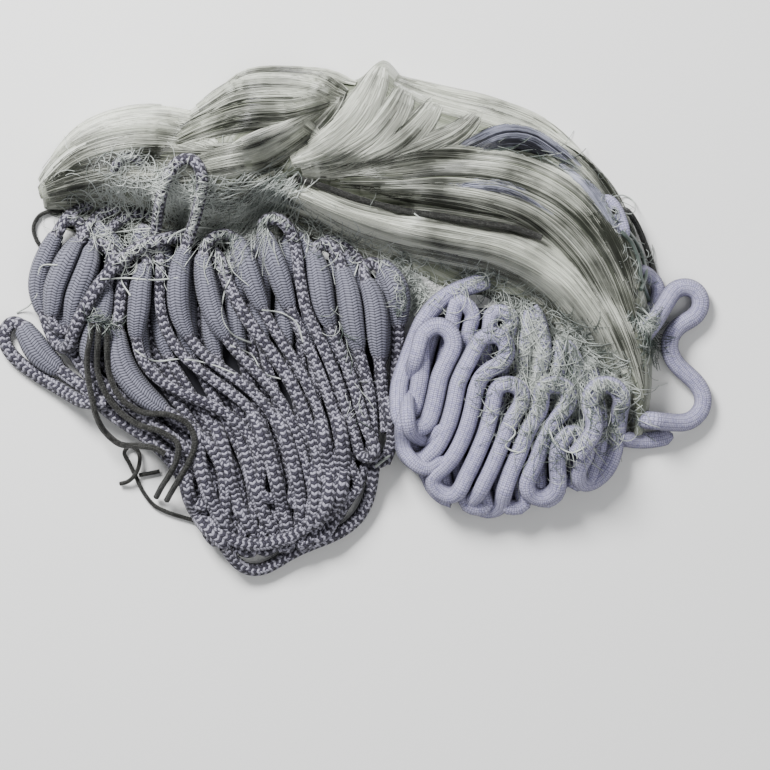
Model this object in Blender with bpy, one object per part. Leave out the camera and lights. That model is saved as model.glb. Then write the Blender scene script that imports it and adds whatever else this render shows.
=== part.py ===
"""A gill net laid away in one hank: gathered webbing, its two border ropes in bights, its ties.

Every table is in millimetres in the part's own frame: +X runs along the hank, +Y towards the
long edge of the webbing and +Z up from the surface that the net lies on.
"""

import math
from typing import NamedTuple

import bmesh
import bpy
import numpy as np

MM = 0.001

# Driving sizes of the ropes, in millimetres
LEAD_ROPE_DIAMETER = 6.0
LEAD_DIAMETER = 12.0
FLOAT_ROPE_DIAMETER = 8.5
TIE_DIAMETER = 3.2
FINE_TIE_DIAMETER = 2.2
CLEARANCE = 0.8

# Driving sizes of the wound ropes under the top bights
LEAD_HANK_HEIGHT = 2.0 * LEAD_ROPE_DIAMETER + 0.6
FLOAT_HANK_HEIGHT = 2.0 * FLOAT_ROPE_DIAMETER + 0.6
LEAD_HANK_RIDGES = 13
FLOAT_HANK_RIDGES = 10
RIDGE_DEPTH = 2.4

# The middle of the whole net's outline, which the origin stands under
PLAN_CENTRE = (0.6, 1.9)

# How finely the solids are divided
TIE_STEP = 2.5
LEAD_ROPE_SIDES = 6
FLOAT_ROPE_SIDES = 7
WEBBING_SECTIONS = 68
WEBBING_COLUMNS = 20
SKIRT_WIDTH = 6.0
SKIRT_HEIGHT = 4.0
POINTS_PER_RIDGE = 3
HANK_ROWS = 11
LONGEST_STATION = 9.5
SHARPEST_STATION = math.radians(26.0)

# How the ropes settle on each other
POINT_SPACING = 3.0
CONTACT_GAP = 1.1
BEND_SPAN = 3
TIGHTEST_BEND = 1.7
GUIDE_PULL = 0.12
SETTLE_STEPS = 260
CLEAR_STEPS = 240
MAP_CELL = 2.0
MAP_MARGIN = 0.5
MAP_HALF_SIZE = (200.0, 150.0)


class Section(NamedTuple):
    """One cross-section of the webbing, from its outer edge to its inner edge."""

    outer: tuple
    inner: tuple
    crest: float
    skirt: float = SKIRT_WIDTH


class Fold(NamedTuple):
    """A trough (negative height) or a lock (positive height) that runs over the webbing."""

    route: tuple
    width: float
    height: float


class Lane(NamedTuple):
    """One guiding turn of a wound rope, from its head down to its foot."""

    head: tuple
    neck: tuple
    waist: tuple
    sheaf: tuple
    foot: tuple


class Stretch(NamedTuple):
    """A stretch of a top rope: the places it passes, if a lead fills it, and ropes under it."""

    route: tuple
    leaded: bool = False
    ropes_under: float = 0.0


class Tie(NamedTuple):
    """A tie cord with both ends free: its thickness and the places it passes, (x, y, z)."""

    name: str
    diameter: float
    route: tuple


WEBBING = (
    Section((-158.5, 68.5), (-156.5, 57.5), 12.0),
    Section((-154.5, 78.0), (-145.5, 58.5), 20.0),
    Section((-145.5, 90.5), (-131.5, 62.5), 26.0),
    Section((-126.5, 102.0), (-114.0, 59.0), 30.0),
    Section((-104.0, 106.5), (-94.0, 55.0), 32.0),
    Section((-79.0, 108.0), (-74.0, 53.0), 33.0),
    Section((-69.5, 113.0), (-62.5, 54.0), 37.0),
    Section((-56.5, 126.0), (-51.5, 58.5), 42.0),
    Section((-36.5, 128.0), (-34.0, 55.5), 43.0),
    Section((-16.5, 127.5), (-19.0, 50.5), 41.0),
    Section((1.0, 122.5), (-4.0, 43.5), 36.0),
    Section((15.5, 132.5), (13.5, 38.5), 36.0),
    Section((28.5, 119.5), (31.0, 33.0), 35.0, 8.0),
    Section((48.5, 111.5), (51.0, 28.0), 34.0, 13.0),
    Section((73.5, 106.0), (72.5, 23.0), 34.0, 10.0),
    Section((98.5, 94.5), (88.5, 17.0), 33.0, 8.0),
    Section((116.0, 84.5), (101.0, 9.5), 33.0),
    Section((127.5, 66.5), (109.5, 1.0), 32.0),
    Section((139.5, 48.0), (118.5, -7.5), 31.0),
    Section((146.5, 25.5), (125.5, -14.5), 30.0),
    Section((149.5, 0.5), (132.5, -24.5), 27.0),
    Section((151.0, -22.0), (137.0, -37.0), 23.0),
    Section((149.5, -44.5), (140.0, -49.5), 17.0),
    Section((146.0, -58.5), (141.0, -59.5), 9.0),
)

WEBBING_FOLDS = (
    Fold(((-4.0, 118.0), (-14.0, 105.5), (-24.0, 88.0), (-45.5, 78.0)), 5.0, -15.0),
    Fold(((-84.0, 101.0), (-92.5, 89.5), (-101.5, 78.0)), 6.0, -9.0),
    Fold(((-45.5, 78.0), (-31.5, 71.5), (-11.5, 66.5), (23.5, 56.5)), 6.5, -15.0),
    Fold(((23.5, 56.5), (58.5, 48.5), (93.5, 42.5), (118.5, 20.5), (143.5, -2.0)), 5.0, -12.0),
    Fold(((-11.5, 76.0), (23.5, 74.5), (51.0, 80.5), (78.0, 86.0), (108.5, 76.5)), 4.5, -9.0),
    Fold(((-26.5, 60.0), (3.5, 49.0), (38.5, 41.0), (73.5, 33.0), (103.5, 18.0)), 9.0, 5.0),
    Fold(((103.5, 18.0), (128.5, -5.0), (142.0, -32.0)), 8.0, 4.0),
    Fold(((-20.0, 96.0), (23.5, 66.0), (58.5, 64.0), (93.5, 60.0), (121.0, 38.0)), 8.0, 4.0),
    Fold(((-66.0, 84.0), (-46.5, 105.5), (-20.0, 117.0)), 10.0, 4.0),
    Fold(((-140.0, 74.0), (-110.0, 92.0), (-75.0, 98.0)), 9.0, 3.0),
)

LEAD_HANK = (
    Lane((-150.5, 48.0), (-151.0, -7.0), (-119.0, -47.0), (-82.0, -82.0), (-73.5, -107.0)),
    Lane((-116.5, 48.0), (-120.5, -9.5), (-86.5, -45.5), (-62.5, -74.5), (-61.5, -115.0)),
    Lane((-81.5, 43.5), (-77.5, -12.0), (-49.0, -43.5), (-34.0, -74.5), (-49.0, -116.0)),
    Lane((-45.5, 47.0), (-25.5, -7.0), (-12.5, -39.5), (-9.0, -74.5), (-36.5, -114.0)),
    Lane((-11.5, 37.0), (-0.5, -4.5), (3.5, -39.5), (2.5, -74.5), (-24.0, -112.0)),
    Lane((22.0, 26.0), (20.0, -7.0), (17.5, -39.5), (12.0, -67.0), (-12.5, -107.5)),
)

FLOAT_HANK = (
    Lane((38.5, 6.5), (31.0, -18.0), (26.5, -42.0), (27.0, -62.0), (37.5, -82.0)),
    Lane((57.5, 10.5), (50.5, -18.0), (48.0, -45.0), (48.5, -70.0), (54.5, -91.5)),
    Lane((79.5, 9.5), (75.0, -18.0), (73.0, -45.0), (72.0, -70.0), (73.5, -92.5)),
    Lane((98.5, -1.0), (97.0, -26.0), (96.0, -48.0), (95.0, -70.0), (93.5, -90.5)),
    Lane((114.0, -16.5), (117.5, -33.0), (117.0, -50.0), (115.0, -66.0), (111.0, -81.0)),
    Lane((121.5, -24.0), (126.5, -38.0), (129.0, -51.0), (128.5, -64.0), (123.5, -76.0)),
)

LEAD_LINE = (
    Stretch(((-124.5, -41.5), (-154.0, -25.0), (-180.5, -12.0), (-174.5, 4.0))),
    Stretch(((-170.5, 2.0), (-162.5, -8.5), (-154.5, -17.5), (-146.5, -25.5)), leaded=True),
    Stretch(((-134.5, -35.0), (-114.0, -51.5), (-89.0, -67.5), (-77.5, -95.5))),
    Stretch(((-70.0, -97.5), (-76.5, -69.5), (-99.0, -52.0), (-120.5, -38.5))),
    Stretch(((-141.5, -22.5), (-136.5, -8.5), (-130.5, 6.5), (-124.5, 21.5)), leaded=True),
    Stretch(((-119.0, 31.5), (-117.5, 40.5), (-121.0, 45.0))),
    Stretch(((-124.5, 39.5), (-130.5, 28.5), (-139.0, 10.5), (-144.5, -8.5)), leaded=True),
    Stretch(((-146.0, -14.0), (-149.5, -10.5))),
    Stretch(((-150.0, -2.5), (-147.5, 12.5), (-143.0, 30.5), (-136.5, 46.5)), leaded=True),
    Stretch(((-133.0, 54.0), (-137.5, 58.0), (-143.0, 55.0))),
    Stretch(((-147.5, 48.5), (-151.5, 35.5), (-153.0, 18.0), (-151.5, 1.5)), leaded=True),
    Stretch(((-153.5, -8.5), (-151.5, -17.5), (-146.5, -21.5))),
    Stretch(((-142.5, -12.5), (-137.0, 0.5), (-130.0, 14.5), (-121.5, 27.5)), ropes_under=1.5),
    Stretch(((-110.5, 36.5), (-95.5, 44.5), (-79.5, 45.0), (-69.5, 37.5)), ropes_under=1.5),
    Stretch(((-63.5, 18.0), (-55.0, 1.5), (-39.0, -15.5), (-25.0, -35.5))),
    Stretch(((-16.5, -59.5), (-14.5, -84.5), (-17.5, -102.0))),
    Stretch(((-34.0, -111.0), (-54.0, -117.0), (-69.5, -111.0))),
    Stretch(((-65.5, -97.0), (-62.0, -79.5), (-67.5, -62.0), (-81.5, -51.5))),
    Stretch(((-95.5, -46.0), (-108.5, -36.5), (-117.5, -21.5), (-120.0, -2.5)), leaded=True),
    Stretch(((-120.0, 10.5), (-117.5, 24.5), (-109.5, 37.5), (-101.5, 40.5))),
    Stretch(((-101.0, 32.5), (-108.0, 19.5), (-112.5, 4.5), (-114.0, -10.5)), leaded=True),
    Stretch(((-105.5, -27.5), (-84.0, -37.5), (-57.5, -47.0), (-43.5, -65.5))),
    Stretch(((-38.0, -92.0), (-31.5, -93.5), (-34.5, -68.5), (-45.5, -45.5))),
    Stretch(((-65.5, -31.5), (-84.5, -19.5), (-95.5, -3.5), (-98.0, 15.5))),
    Stretch(((-97.0, 31.5), (-97.0, 49.5), (-95.0, 65.5), (-89.5, 80.5)), ropes_under=1.0),
    Stretch(((-80.5, 87.0), (-73.0, 80.5), (-72.0, 66.5), (-77.5, 52.5)), ropes_under=1.0),
    Stretch(((-85.5, 37.5), (-91.0, 23.5), (-91.0, 7.5), (-85.5, -10.5)), leaded=True),
    Stretch(((-71.5, -22.5), (-51.5, -32.5), (-36.5, -49.5), (-28.5, -70.5))),
    Stretch(((-26.0, -97.0), (-19.5, -95.5), (-22.0, -70.5), (-31.5, -43.5), (-48.5, -24.5))),
    Stretch(((-65.0, -11.5), (-71.5, 4.5), (-74.5, 20.5), (-76.5, 36.5)), leaded=True),
    Stretch(((-73.0, 45.5), (-65.5, 50.5))),
    Stretch(((-58.0, 46.5), (-55.5, 34.5), (-51.0, 19.5), (-46.0, 4.5)), leaded=True),
    Stretch(((-35.5, -12.5), (-23.0, -31.5), (-13.0, -50.5), (-8.5, -70.5))),
    Stretch(((-9.5, -93.5), (-3.0, -89.5), (-2.5, -67.0), (-7.5, -42.0), (-17.5, -18.5))),
    Stretch(((-28.5, 7.5), (-36.0, 22.5), (-43.0, 37.5), (-48.5, 51.5)), leaded=True),
    Stretch(((-45.5, 57.0), (-36.5, 54.5), (-28.0, 46.5), (-24.0, 33.0))),
    Stretch(((-20.5, 13.0), (-15.5, -7.0), (-8.5, -28.5), (-1.0, -50.5))),
    Stretch(((0.5, -67.0), (2.0, -77.5), (6.5, -73.5), (4.0, -54.5))),
    Stretch(((-0.5, -32.0), (-5.0, -13.5))),
    Stretch(((-8.0, -2.5), (-11.5, 11.5), (-16.0, 26.5), (-20.5, 39.5)), leaded=True),
    Stretch(((-17.5, 45.5), (-10.5, 39.5))),
    Stretch(((-7.5, 28.5), (-4.0, 14.5), (-2.0, -0.5), (-0.5, -16.5)), leaded=True),
    Stretch(((4.5, -35.5), (7.5, -57.5), (9.5, -78.0), (10.5, -91.0), (7.0, -100.5))),
    Stretch(((-1.0, -106.5), (-12.0, -110.5), (-25.0, -111.0), (-35.5, -114.5))),
    Stretch(((-40.0, -122.5), (-45.5, -130.5), (-52.0, -133.0), (-57.0, -128.0))),
    Stretch(((-61.0, -120.5), (-64.5, -113.0))),
)

LEAD_LINE_RIGHT = (
    Stretch(((13.5, -71.5), (19.0, -65.5), (19.0, -54.5), (19.5, -39.5))),
    Stretch(((22.0, -20.5), (24.5, -8.5))),
    Stretch(((24.5, -2.5), (19.5, 9.0), (13.5, 21.5), (7.5, 32.5)), leaded=True),
    Stretch(((5.0, 37.0), (3.0, 33.0))),
    Stretch(((2.5, 25.5), (4.5, 12.5), (8.5, -2.5), (12.5, -18.5)), leaded=True),
    Stretch(((14.5, -32.0), (15.5, -45.5), (16.5, -57.5))),
)

FLOAT_LINE = (
    Stretch(((60.5, 18.5), (52.5, 18.5), (43.0, 15.5), (37.5, 8.0)), ropes_under=1.5),
    Stretch(((33.5, -5.5), (29.0, -22.5), (27.0, -40.5), (27.0, -53.5)), ropes_under=1.0),
    Stretch(((31.5, -60.5), (39.0, -57.5), (44.0, -47.0), (47.5, -32.0)), ropes_under=1.0),
    Stretch(((50.0, -17.0), (49.0, -4.5), (44.0, 3.5), (38.5, 1.5)), ropes_under=0.5),
    Stretch(((33.5, -12.0), (28.0, -34.5), (25.0, -54.5), (25.0, -67.0))),
    Stretch(((29.5, -74.5), (37.5, -77.0), (45.5, -71.0), (50.0, -57.0)), ropes_under=0.5),
    Stretch(((52.5, -42.0), (54.5, -28.5), (60.0, -18.5), (67.5, -11.5)), ropes_under=1.0),
    Stretch(((74.5, -5.5), (81.0, -8.5), (78.0, -16.5), (69.5, -24.5))),
    Stretch(((62.0, -34.5), (57.0, -47.0), (52.5, -60.5), (45.5, -72.5))),
    Stretch(((39.0, -81.5), (40.5, -89.0), (48.0, -90.5), (54.5, -83.0))),
    Stretch(((59.0, -72.5), (62.0, -62.5), (65.5, -52.0), (68.5, -40.5))),
    Stretch(((71.0, -29.5), (78.0, -25.0), (84.5, -30.5), (82.5, -42.0))),
    Stretch(((77.5, -56.0), (70.5, -75.0), (64.0, -83.5), (57.5, -87.5)), ropes_under=0.5),
    Stretch(((52.0, -91.5), (56.0, -96.5), (63.5, -97.5), (71.5, -91.5))),
    Stretch(((76.5, -80.5), (81.0, -68.5), (86.0, -55.5), (90.0, -42.0))),
    Stretch(((91.0, -30.5), (97.5, -25.5), (103.5, -31.5), (101.0, -46.0))),
    Stretch(((96.0, -62.0), (89.0, -76.5), (84.5, -86.5), (90.5, -93.0))),
    Stretch(((98.0, -90.0), (103.0, -81.5), (105.0, -70.5), (103.5, -59.5)), ropes_under=0.5),
    Stretch(((105.5, -51.5), (111.5, -51.5), (112.5, -62.5), (109.5, -74.5))),
    Stretch(((107.5, -82.0), (115.5, -84.5), (125.0, -80.5), (132.0, -71.5))),
    Stretch(((135.0, -62.5), (134.0, -52.0), (131.5, -40.5), (128.5, -30.5))),
    Stretch(((125.0, -24.5), (121.5, -27.5), (123.5, -38.5), (121.5, -49.5))),
    Stretch(((116.5, -58.5), (109.0, -66.0)), ropes_under=1.0),
)

FLOAT_LINE_END = (
    Stretch(((151.0, 0.5), (159.5, 12.5), (166.5, 20.0), (174.5, 20.5)), ropes_under=0.3),
    Stretch(((178.5, 14.0), (174.5, 5.5), (167.0, -0.5), (158.5, -4.0))),
    Stretch(((153.0, -10.0), (155.5, -17.5), (163.5, -23.5), (172.0, -28.0))),
    Stretch(((179.5, -34.0), (182.0, -41.5), (178.5, -50.0), (169.5, -54.0))),
    Stretch(((160.0, -53.0), (151.8, -50.0))),
)


TIES = (
    Tie("tie_left_outer", TIE_DIAMETER, (
        (-130.0, -1.0, 25.4), (-131.0, -9.0, 25.4), (-132.5, -17.0, 24.2), (-132.5, -27.0, 21.6),
        (-130.5, -38.0, 21.8), (-128.5, -47.0, 20.4), (-124.5, -55.5, 14.6), (-117.5, -61.5, 12.9),
        (-107.0, -62.5, 17.0), (-99.5, -63.5, 19.0), (-94.0, -66.5, 19.0))),
    Tie("tie_left_middle", TIE_DIAMETER, (
        (-126.2, -1.5, 26.6), (-127.3, -13.5, 25.0), (-127.5, -25.5, 20.8), (-123.5, -36.5, 19.8),
        (-116.5, -45.5, 18.6), (-107.0, -52.0, 19.6), (-95.5, -55.5, 21.4), (-87.5, -61.5, 21.6),
        (-88.5, -70.5, 20.6), (-92.0, -77.0, 18.8), (-96.5, -83.5, 11.0), (-99.5, -88.5, 3.6))),
    Tie("tie_left_inner", TIE_DIAMETER, (
        (-122.4, -3.0, 26.0), (-122.6, -15.5, 23.6), (-121.5, -27.5, 20.4), (-116.0, -38.5, 20.8),
        (-105.5, -45.5, 20.6), (-91.5, -47.0, 22.8), (-82.5, -51.5, 22.0), (-79.0, -59.5, 21.6),
        (-81.5, -69.5, 21.6), (-86.0, -77.5, 20.2), (-90.5, -84.5, 15.0), (-94.0, -90.0, 6.5))),
    Tie("tie_fine", FINE_TIE_DIAMETER, (
        (-75.3, -102.0, 1.6), (-84.0, -99.5, 1.6), (-93.5, -96.5, 1.6), (-100.5, -93.0, 1.6),
        (-106.0, -86.5, 1.6), (-110.0, -78.5, 1.6), (-113.6, -71.0, 1.6), (-115.8, -66.0, 2.0),
        (-112.8, -62.8, 2.8), (-108.8, -65.5, 3.6), (-108.0, -71.5, 4.4), (-110.6, -77.8, 4.8),
        (-114.0, -80.8, 3.4), (-118.0, -82.0, 1.8))),
    Tie("tie_fine_end", FINE_TIE_DIAMETER, (
        (-98.0, -75.6, 1.6), (-101.5, -76.3, 1.6), (-105.0, -77.0, 1.6), (-108.4, -77.6, 1.6))),
    Tie("tie_webbing", TIE_DIAMETER, (
        (-27.0, 70.5, 30.0), (-14.0, 66.5, 28.0), (3.5, 60.5, 25.4), (23.5, 55.5, 23.5),
        (43.5, 52.0, 28.2), (63.5, 48.5, 29.0), (83.5, 45.0, 28.4), (94.0, 41.2, 29.8))),
    Tie("tie_right", TIE_DIAMETER, (
        (130.5, 54.5, 23.4), (137.0, 55.5, 14.6), (143.0, 49.0, 6.0), (147.5, 39.0, 2.6),
        (151.5, 27.0, 2.2), (153.5, 17.0, 2.2), (154.0, 11.5, 2.2))),
    Tie("tie_loop", FINE_TIE_DIAMETER, (
        (-146.6, 55.5, 1.8), (-153.0, 56.0, 1.8), (-159.0, 53.4, 1.8), (-161.8, 47.6, 1.8),
        (-160.4, 41.6, 1.8), (-156.9, 36.6, 1.8))),
)


def clear_scene():
    """Empty the scene so that only the net is left in it."""
    for existing in list(bpy.data.objects):
        bpy.data.objects.remove(existing, do_unlink=True)


def curve_through(points, spacing):
    """Smooth curve through the given points, read off at even steps along its length."""
    points = np.asarray(points, dtype=float)
    knots = np.concatenate([[0.0], np.cumsum(np.linalg.norm(np.diff(points, axis=0), axis=1))])
    slopes = np.gradient(points, knots, axis=0)
    fine = []
    for index in range(len(points) - 1):
        span = knots[index + 1] - knots[index]
        t = np.linspace(0.0, 1.0, 24, endpoint=False)[:, None]
        fine.append((2 * t**3 - 3 * t**2 + 1) * points[index]
                    + (t**3 - 2 * t**2 + t) * span * slopes[index]
                    + (3 * t**2 - 2 * t**3) * points[index + 1]
                    + (t**3 - t**2) * span * slopes[index + 1])
    fine = np.vstack(fine + [points[-1:]])
    along = np.concatenate([[0.0], np.cumsum(np.linalg.norm(np.diff(fine, axis=0), axis=1))])
    count = max(3, int(round(along[-1] / spacing)) + 1)
    steps = np.linspace(0.0, along[-1], count)
    return np.stack([np.interp(steps, along, fine[:, axis]) for axis in range(fine.shape[1])], 1)


def distance_to_route(x, y, route):
    """Shortest distance in plan from each point to a route of straight pieces."""
    best = np.full(np.shape(x), np.inf)
    for (ax, ay), (bx, by) in zip(route[:-1], route[1:]):
        reach_x, reach_y = bx - ax, by - ay
        share = ((x - ax) * reach_x + (y - ay) * reach_y) / (reach_x**2 + reach_y**2)
        share = np.clip(share, 0.0, 1.0)
        best = np.minimum(best, np.hypot(x - ax - share * reach_x, y - ay - share * reach_y))
    return best


def webbing_surface():
    """Grid of points over the webbing's top, one row for each cross-section."""
    outer = np.array([section.outer for section in WEBBING])
    inner = np.array([section.inner for section in WEBBING])
    crest = np.array([[section.crest] for section in WEBBING])
    skirt = np.array([[section.skirt] for section in WEBBING])
    rows = curve_through(np.hstack([outer, inner, crest, skirt]), 1.0)
    rows = rows[np.linspace(0, len(rows) - 1, WEBBING_SECTIONS).round().astype(int)]
    across = 0.5 - 0.5 * np.cos(np.linspace(0.0, math.pi, WEBBING_COLUMNS))
    across = 0.6 * across + 0.4 * np.linspace(0.0, 1.0, WEBBING_COLUMNS)
    x = rows[:, 0:1] + (rows[:, 2:3] - rows[:, 0:1]) * across
    y = rows[:, 1:2] + (rows[:, 3:4] - rows[:, 1:2]) * across
    dome = np.sqrt(np.clip(1.0 - np.abs(2.0 * across - 1.0) ** 2.4, 0.0, 1.0))
    relief = np.zeros_like(x)
    for fold in WEBBING_FOLDS:
        relief += fold.height * np.exp(-(distance_to_route(x, y, fold.route) / fold.width) ** 2)
    z = dome * np.maximum(rows[:, 4:5] + relief, 0.4 * rows[:, 4:5])
    top = np.stack([x, y, z], axis=2)
    inward = top[:, -1, :2] - top[:, 0, :2]
    inward /= np.linalg.norm(inward, axis=1)[:, None]
    taper = np.sin(np.linspace(0.0, math.pi, len(top)))[:, None] ** 0.5
    lip = top[:, -1:, :].copy()
    lip[:, 0, 2] = SKIRT_HEIGHT * taper[:, 0]
    shoulder, hem = lip.copy(), lip.copy()
    shoulder[:, 0, :2] += 0.75 * rows[:, 5:6] * taper * inward
    shoulder[:, 0, 2] *= 0.75
    hem[:, 0, :2] += rows[:, 5:6] * taper * inward
    hem[:, 0, 2] = 0.0
    return np.concatenate([top[:, :-1], lip, shoulder, hem], axis=1)


def hank_surface(lanes, height, ridges):
    """Grid of points over a wound rope's top, ridged where its turns lie side by side."""
    guides = np.array([lane for lane in lanes])
    columns = ridges * POINTS_PER_RIDGE + 1
    down = [curve_through(guide, 1.0) for guide in guides]
    rows = np.array([line[np.linspace(0, len(line) - 1, HANK_ROWS).round().astype(int)]
                     for line in down])
    spread = np.empty((HANK_ROWS, columns, 2))
    for row in range(HANK_ROWS):
        line = curve_through(rows[:, row], 0.5)
        share = np.linspace(0, len(line) - 1, columns).round().astype(int)
        spread[row] = line[share]
    edge_u = np.abs(np.linspace(-1.0, 1.0, columns))
    edge_v = np.abs(np.linspace(-1.0, 1.0, HANK_ROWS))
    fall = np.sqrt(1.0 - edge_u**8)[None, :] * np.sqrt(1.0 - edge_v**8)[:, None]
    phase = np.linspace(0.0, ridges, columns)
    groove = 1.0 - np.abs(np.sin(math.pi * phase))
    z = fall * (height - RIDGE_DEPTH * groove[None, :])
    return np.dstack([spread, z])


def ground_map(surfaces, reach):
    """Height map of what lies under the top ropes, widened by the rope's own reach."""
    cells_x = int(2 * MAP_HALF_SIZE[0] / MAP_CELL) + 1
    cells_y = int(2 * MAP_HALF_SIZE[1] / MAP_CELL) + 1
    heights = np.zeros((cells_x, cells_y))
    for surface in surfaces:
        for step in np.linspace(0.0, 1.0, 9):
            rows = surface[:-1] * (1.0 - step) + surface[1:] * step
            for part in np.linspace(0.0, 1.0, 5):
                grid = rows[:, :-1] * (1.0 - part) + rows[:, 1:] * part
                column = ((grid[..., 0] + MAP_HALF_SIZE[0]) / MAP_CELL).round().astype(int)
                line = ((grid[..., 1] + MAP_HALF_SIZE[1]) / MAP_CELL).round().astype(int)
                np.maximum.at(heights, (column, line), grid[..., 2])
    widened = heights.copy()
    cells = int(math.ceil(reach / MAP_CELL))
    for shift_x in range(-cells, cells + 1):
        for shift_y in range(-cells, cells + 1):
            away = MAP_CELL * math.hypot(shift_x, shift_y)
            if away <= reach:
                drop = reach - math.sqrt(reach**2 - away**2)
                moved = np.roll(heights, (shift_x, shift_y), axis=(0, 1)) - drop
                widened = np.maximum(widened, moved)
    return widened


def height_at(heights, points):
    """Read a height map at each point's place, between its cells."""
    column = (points[:, 0] + MAP_HALF_SIZE[0]) / MAP_CELL
    line = (points[:, 1] + MAP_HALF_SIZE[1]) / MAP_CELL
    left, low = np.floor(column).astype(int), np.floor(line).astype(int)
    across, up = column - left, line - low
    near = heights[left, low] * (1 - across) + heights[left + 1, low] * across
    far = heights[left, low + 1] * (1 - across) + heights[left + 1, low + 1] * across
    return near * (1 - up) + far * up


def lay_route(stretches, rope_diameter):
    """Centreline of a rope over its stretches, with its radius and starting lift."""
    plan, marks = [], []
    for stretch in stretches:
        for step, place in enumerate(stretch.route):
            share = step / (len(stretch.route) - 1) if stretch.leaded else -1.0
            plan.append((place[0], place[1], stretch.ropes_under * rope_diameter))
            marks.append(share)
    places = np.array(plan)
    line = curve_through(places, POINT_SPACING)
    radius = np.full(len(line), rope_diameter / 2)
    for first in range(len(marks)):
        if marks[first] == 0.0:
            last = first + marks[first:].index(1.0)
            start = np.argmin(np.linalg.norm(line - places[first], axis=1))
            end = np.argmin(np.linalg.norm(line - places[last], axis=1))
            low, high = min(start, end), max(start, end)
            share = np.linspace(0.0, 1.0, high - low + 1)
            bulge = np.sin(math.pi * share) ** 0.55
            radius[low:high + 1] += bulge * (LEAD_DIAMETER - rope_diameter) / 2
    return line, radius


def contact_pairs(points, radius, rope, along):
    """Pairs of rope points that may touch, but not those next to each other on one rope."""
    apart = np.linalg.norm(points[:, None, :] - points[None, :, :], axis=2)
    reach = radius[:, None] + radius[None, :]
    same = (rope[:, None] == rope[None, :]) & (np.abs(along[:, None] - along[None, :]) < 1.5 * reach)
    near = (apart < reach + 6.0) & ~same
    return np.nonzero(np.triu(near, 1))


def ground_under(points, rope, grounds):
    """Height that each rope's points may sink to, from that rope's own ground map."""
    lowest = np.zeros(len(points))
    for index, ground in enumerate(grounds):
        lowest[rope == index] = height_at(ground, points[rope == index])
    return lowest


def settle(lines, grounds):
    """Let the ropes sink on what lies under them until none reaches into another."""
    points = np.vstack([line for line, _ in lines])
    radius = np.concatenate([thick for _, thick in lines])
    rope = np.concatenate([np.full(len(line), index) for index, (line, _) in enumerate(lines)])
    along = np.concatenate([np.arange(len(line)) * POINT_SPACING for line, _ in lines])
    guide = points[:, :2].copy()
    points[:, 2] += ground_under(points, rope, grounds) + radius + CONTACT_GAP
    inner = np.nonzero((rope[1:-1] == rope[:-2]) & (rope[1:-1] == rope[2:]))[0] + 1
    before = np.nonzero(rope[:-2 * BEND_SPAN] == rope[2 * BEND_SPAN:])[0]
    after = before + 2 * BEND_SPAN
    bend = TIGHTEST_BEND * radius[before + BEND_SPAN]
    chord = 2.0 * bend * np.sin(np.minimum(BEND_SPAN * POINT_SPACING / bend, 0.5 * math.pi))
    total = SETTLE_STEPS + CLEAR_STEPS
    for step in range(total):
        settling = step < SETTLE_STEPS
        if step % 8 == 0:
            first, second = contact_pairs(points, radius, rope, along)
        if settling:
            points[:, 2] -= 0.25
            points[:, :2] += GUIDE_PULL * (guide - points[:, :2])
        middle = 0.5 * (points[inner - 1] + points[inner + 1])
        points[inner] += (0.25 if settling else 0.10) * (middle - points[inner])
        across = points[after] - points[before]
        span = np.maximum(np.linalg.norm(across, axis=1), 1e-6)
        open_up = across * (0.4 * np.maximum(chord - span, 0.0) / span)[:, None]
        np.add.at(points, before, -open_up)
        np.add.at(points, after, open_up)
        offset = points[second] - points[first]
        apart = np.maximum(np.linalg.norm(offset, axis=1), 1e-6)
        lack = radius[first] + radius[second] + CONTACT_GAP - apart
        touching = lack > 0.0
        push = offset[touching] * (0.5 * lack[touching] / apart[touching])[:, None]
        moved = np.zeros_like(points)
        count = np.zeros(len(points))
        np.add.at(moved, first[touching], -push)
        np.add.at(moved, second[touching], push)
        np.add.at(count, first[touching], 1.0)
        np.add.at(count, second[touching], 1.0)
        points += moved / np.maximum(count, 1.0)[:, None] * 1.2
        floor = ground_under(points, rope, grounds) + radius + CLEARANCE
        points[:, 2] = np.maximum(points[:, 2], floor)
    ends = np.cumsum([len(line) for line, _ in lines])[:-1]
    return list(zip(np.split(points, ends), np.split(radius, ends)))


def rope_stations(line, longest, sharpest):
    """Choose where a rope's rings go: closer together where it bends more."""
    chosen = [0]
    turned, travelled = 0.0, 0.0
    steps = np.diff(line, axis=0)
    lengths = np.linalg.norm(steps, axis=1)
    for index in range(1, len(line) - 1):
        cosine = steps[index - 1] @ steps[index] / (lengths[index - 1] * lengths[index])
        turned += math.acos(max(-1.0, min(1.0, cosine)))
        travelled += lengths[index - 1]
        if turned > sharpest or travelled > longest:
            chosen.append(index)
            turned, travelled = 0.0, 0.0
    chosen.append(len(line) - 1)
    return chosen


def ring_frames(line):
    """Side and up directions along a line, carried on from ring to ring without twist."""
    ahead = np.gradient(line, axis=0)
    ahead /= np.linalg.norm(ahead, axis=1)[:, None]
    side = np.cross(ahead[0], (0.0, 0.0, 1.0))
    sides, ups = [], []
    for direction in ahead:
        side = side - direction * (side @ direction)
        side = side / np.linalg.norm(side)
        sides.append(side)
        ups.append(np.cross(side, direction))
    return np.array(sides), np.array(ups)


def material(name, colour, roughness):
    """Plain surface with the piece's own colour."""
    surface = bpy.data.materials.new(name)
    surface.use_nodes = True
    shader = surface.node_tree.nodes["Principled BSDF"]
    shader.inputs["Base Color"].default_value = (*colour, 1.0)
    shader.inputs["Roughness"].default_value = roughness
    shader.inputs["Metallic"].default_value = 0.0
    return surface


def in_metres(place):
    """A place of the tables in the part's own frame, in metres from the origin."""
    return ((place[0] - PLAN_CENTRE[0]) * MM, (place[1] - PLAN_CENTRE[1]) * MM, place[2] * MM)


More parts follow.
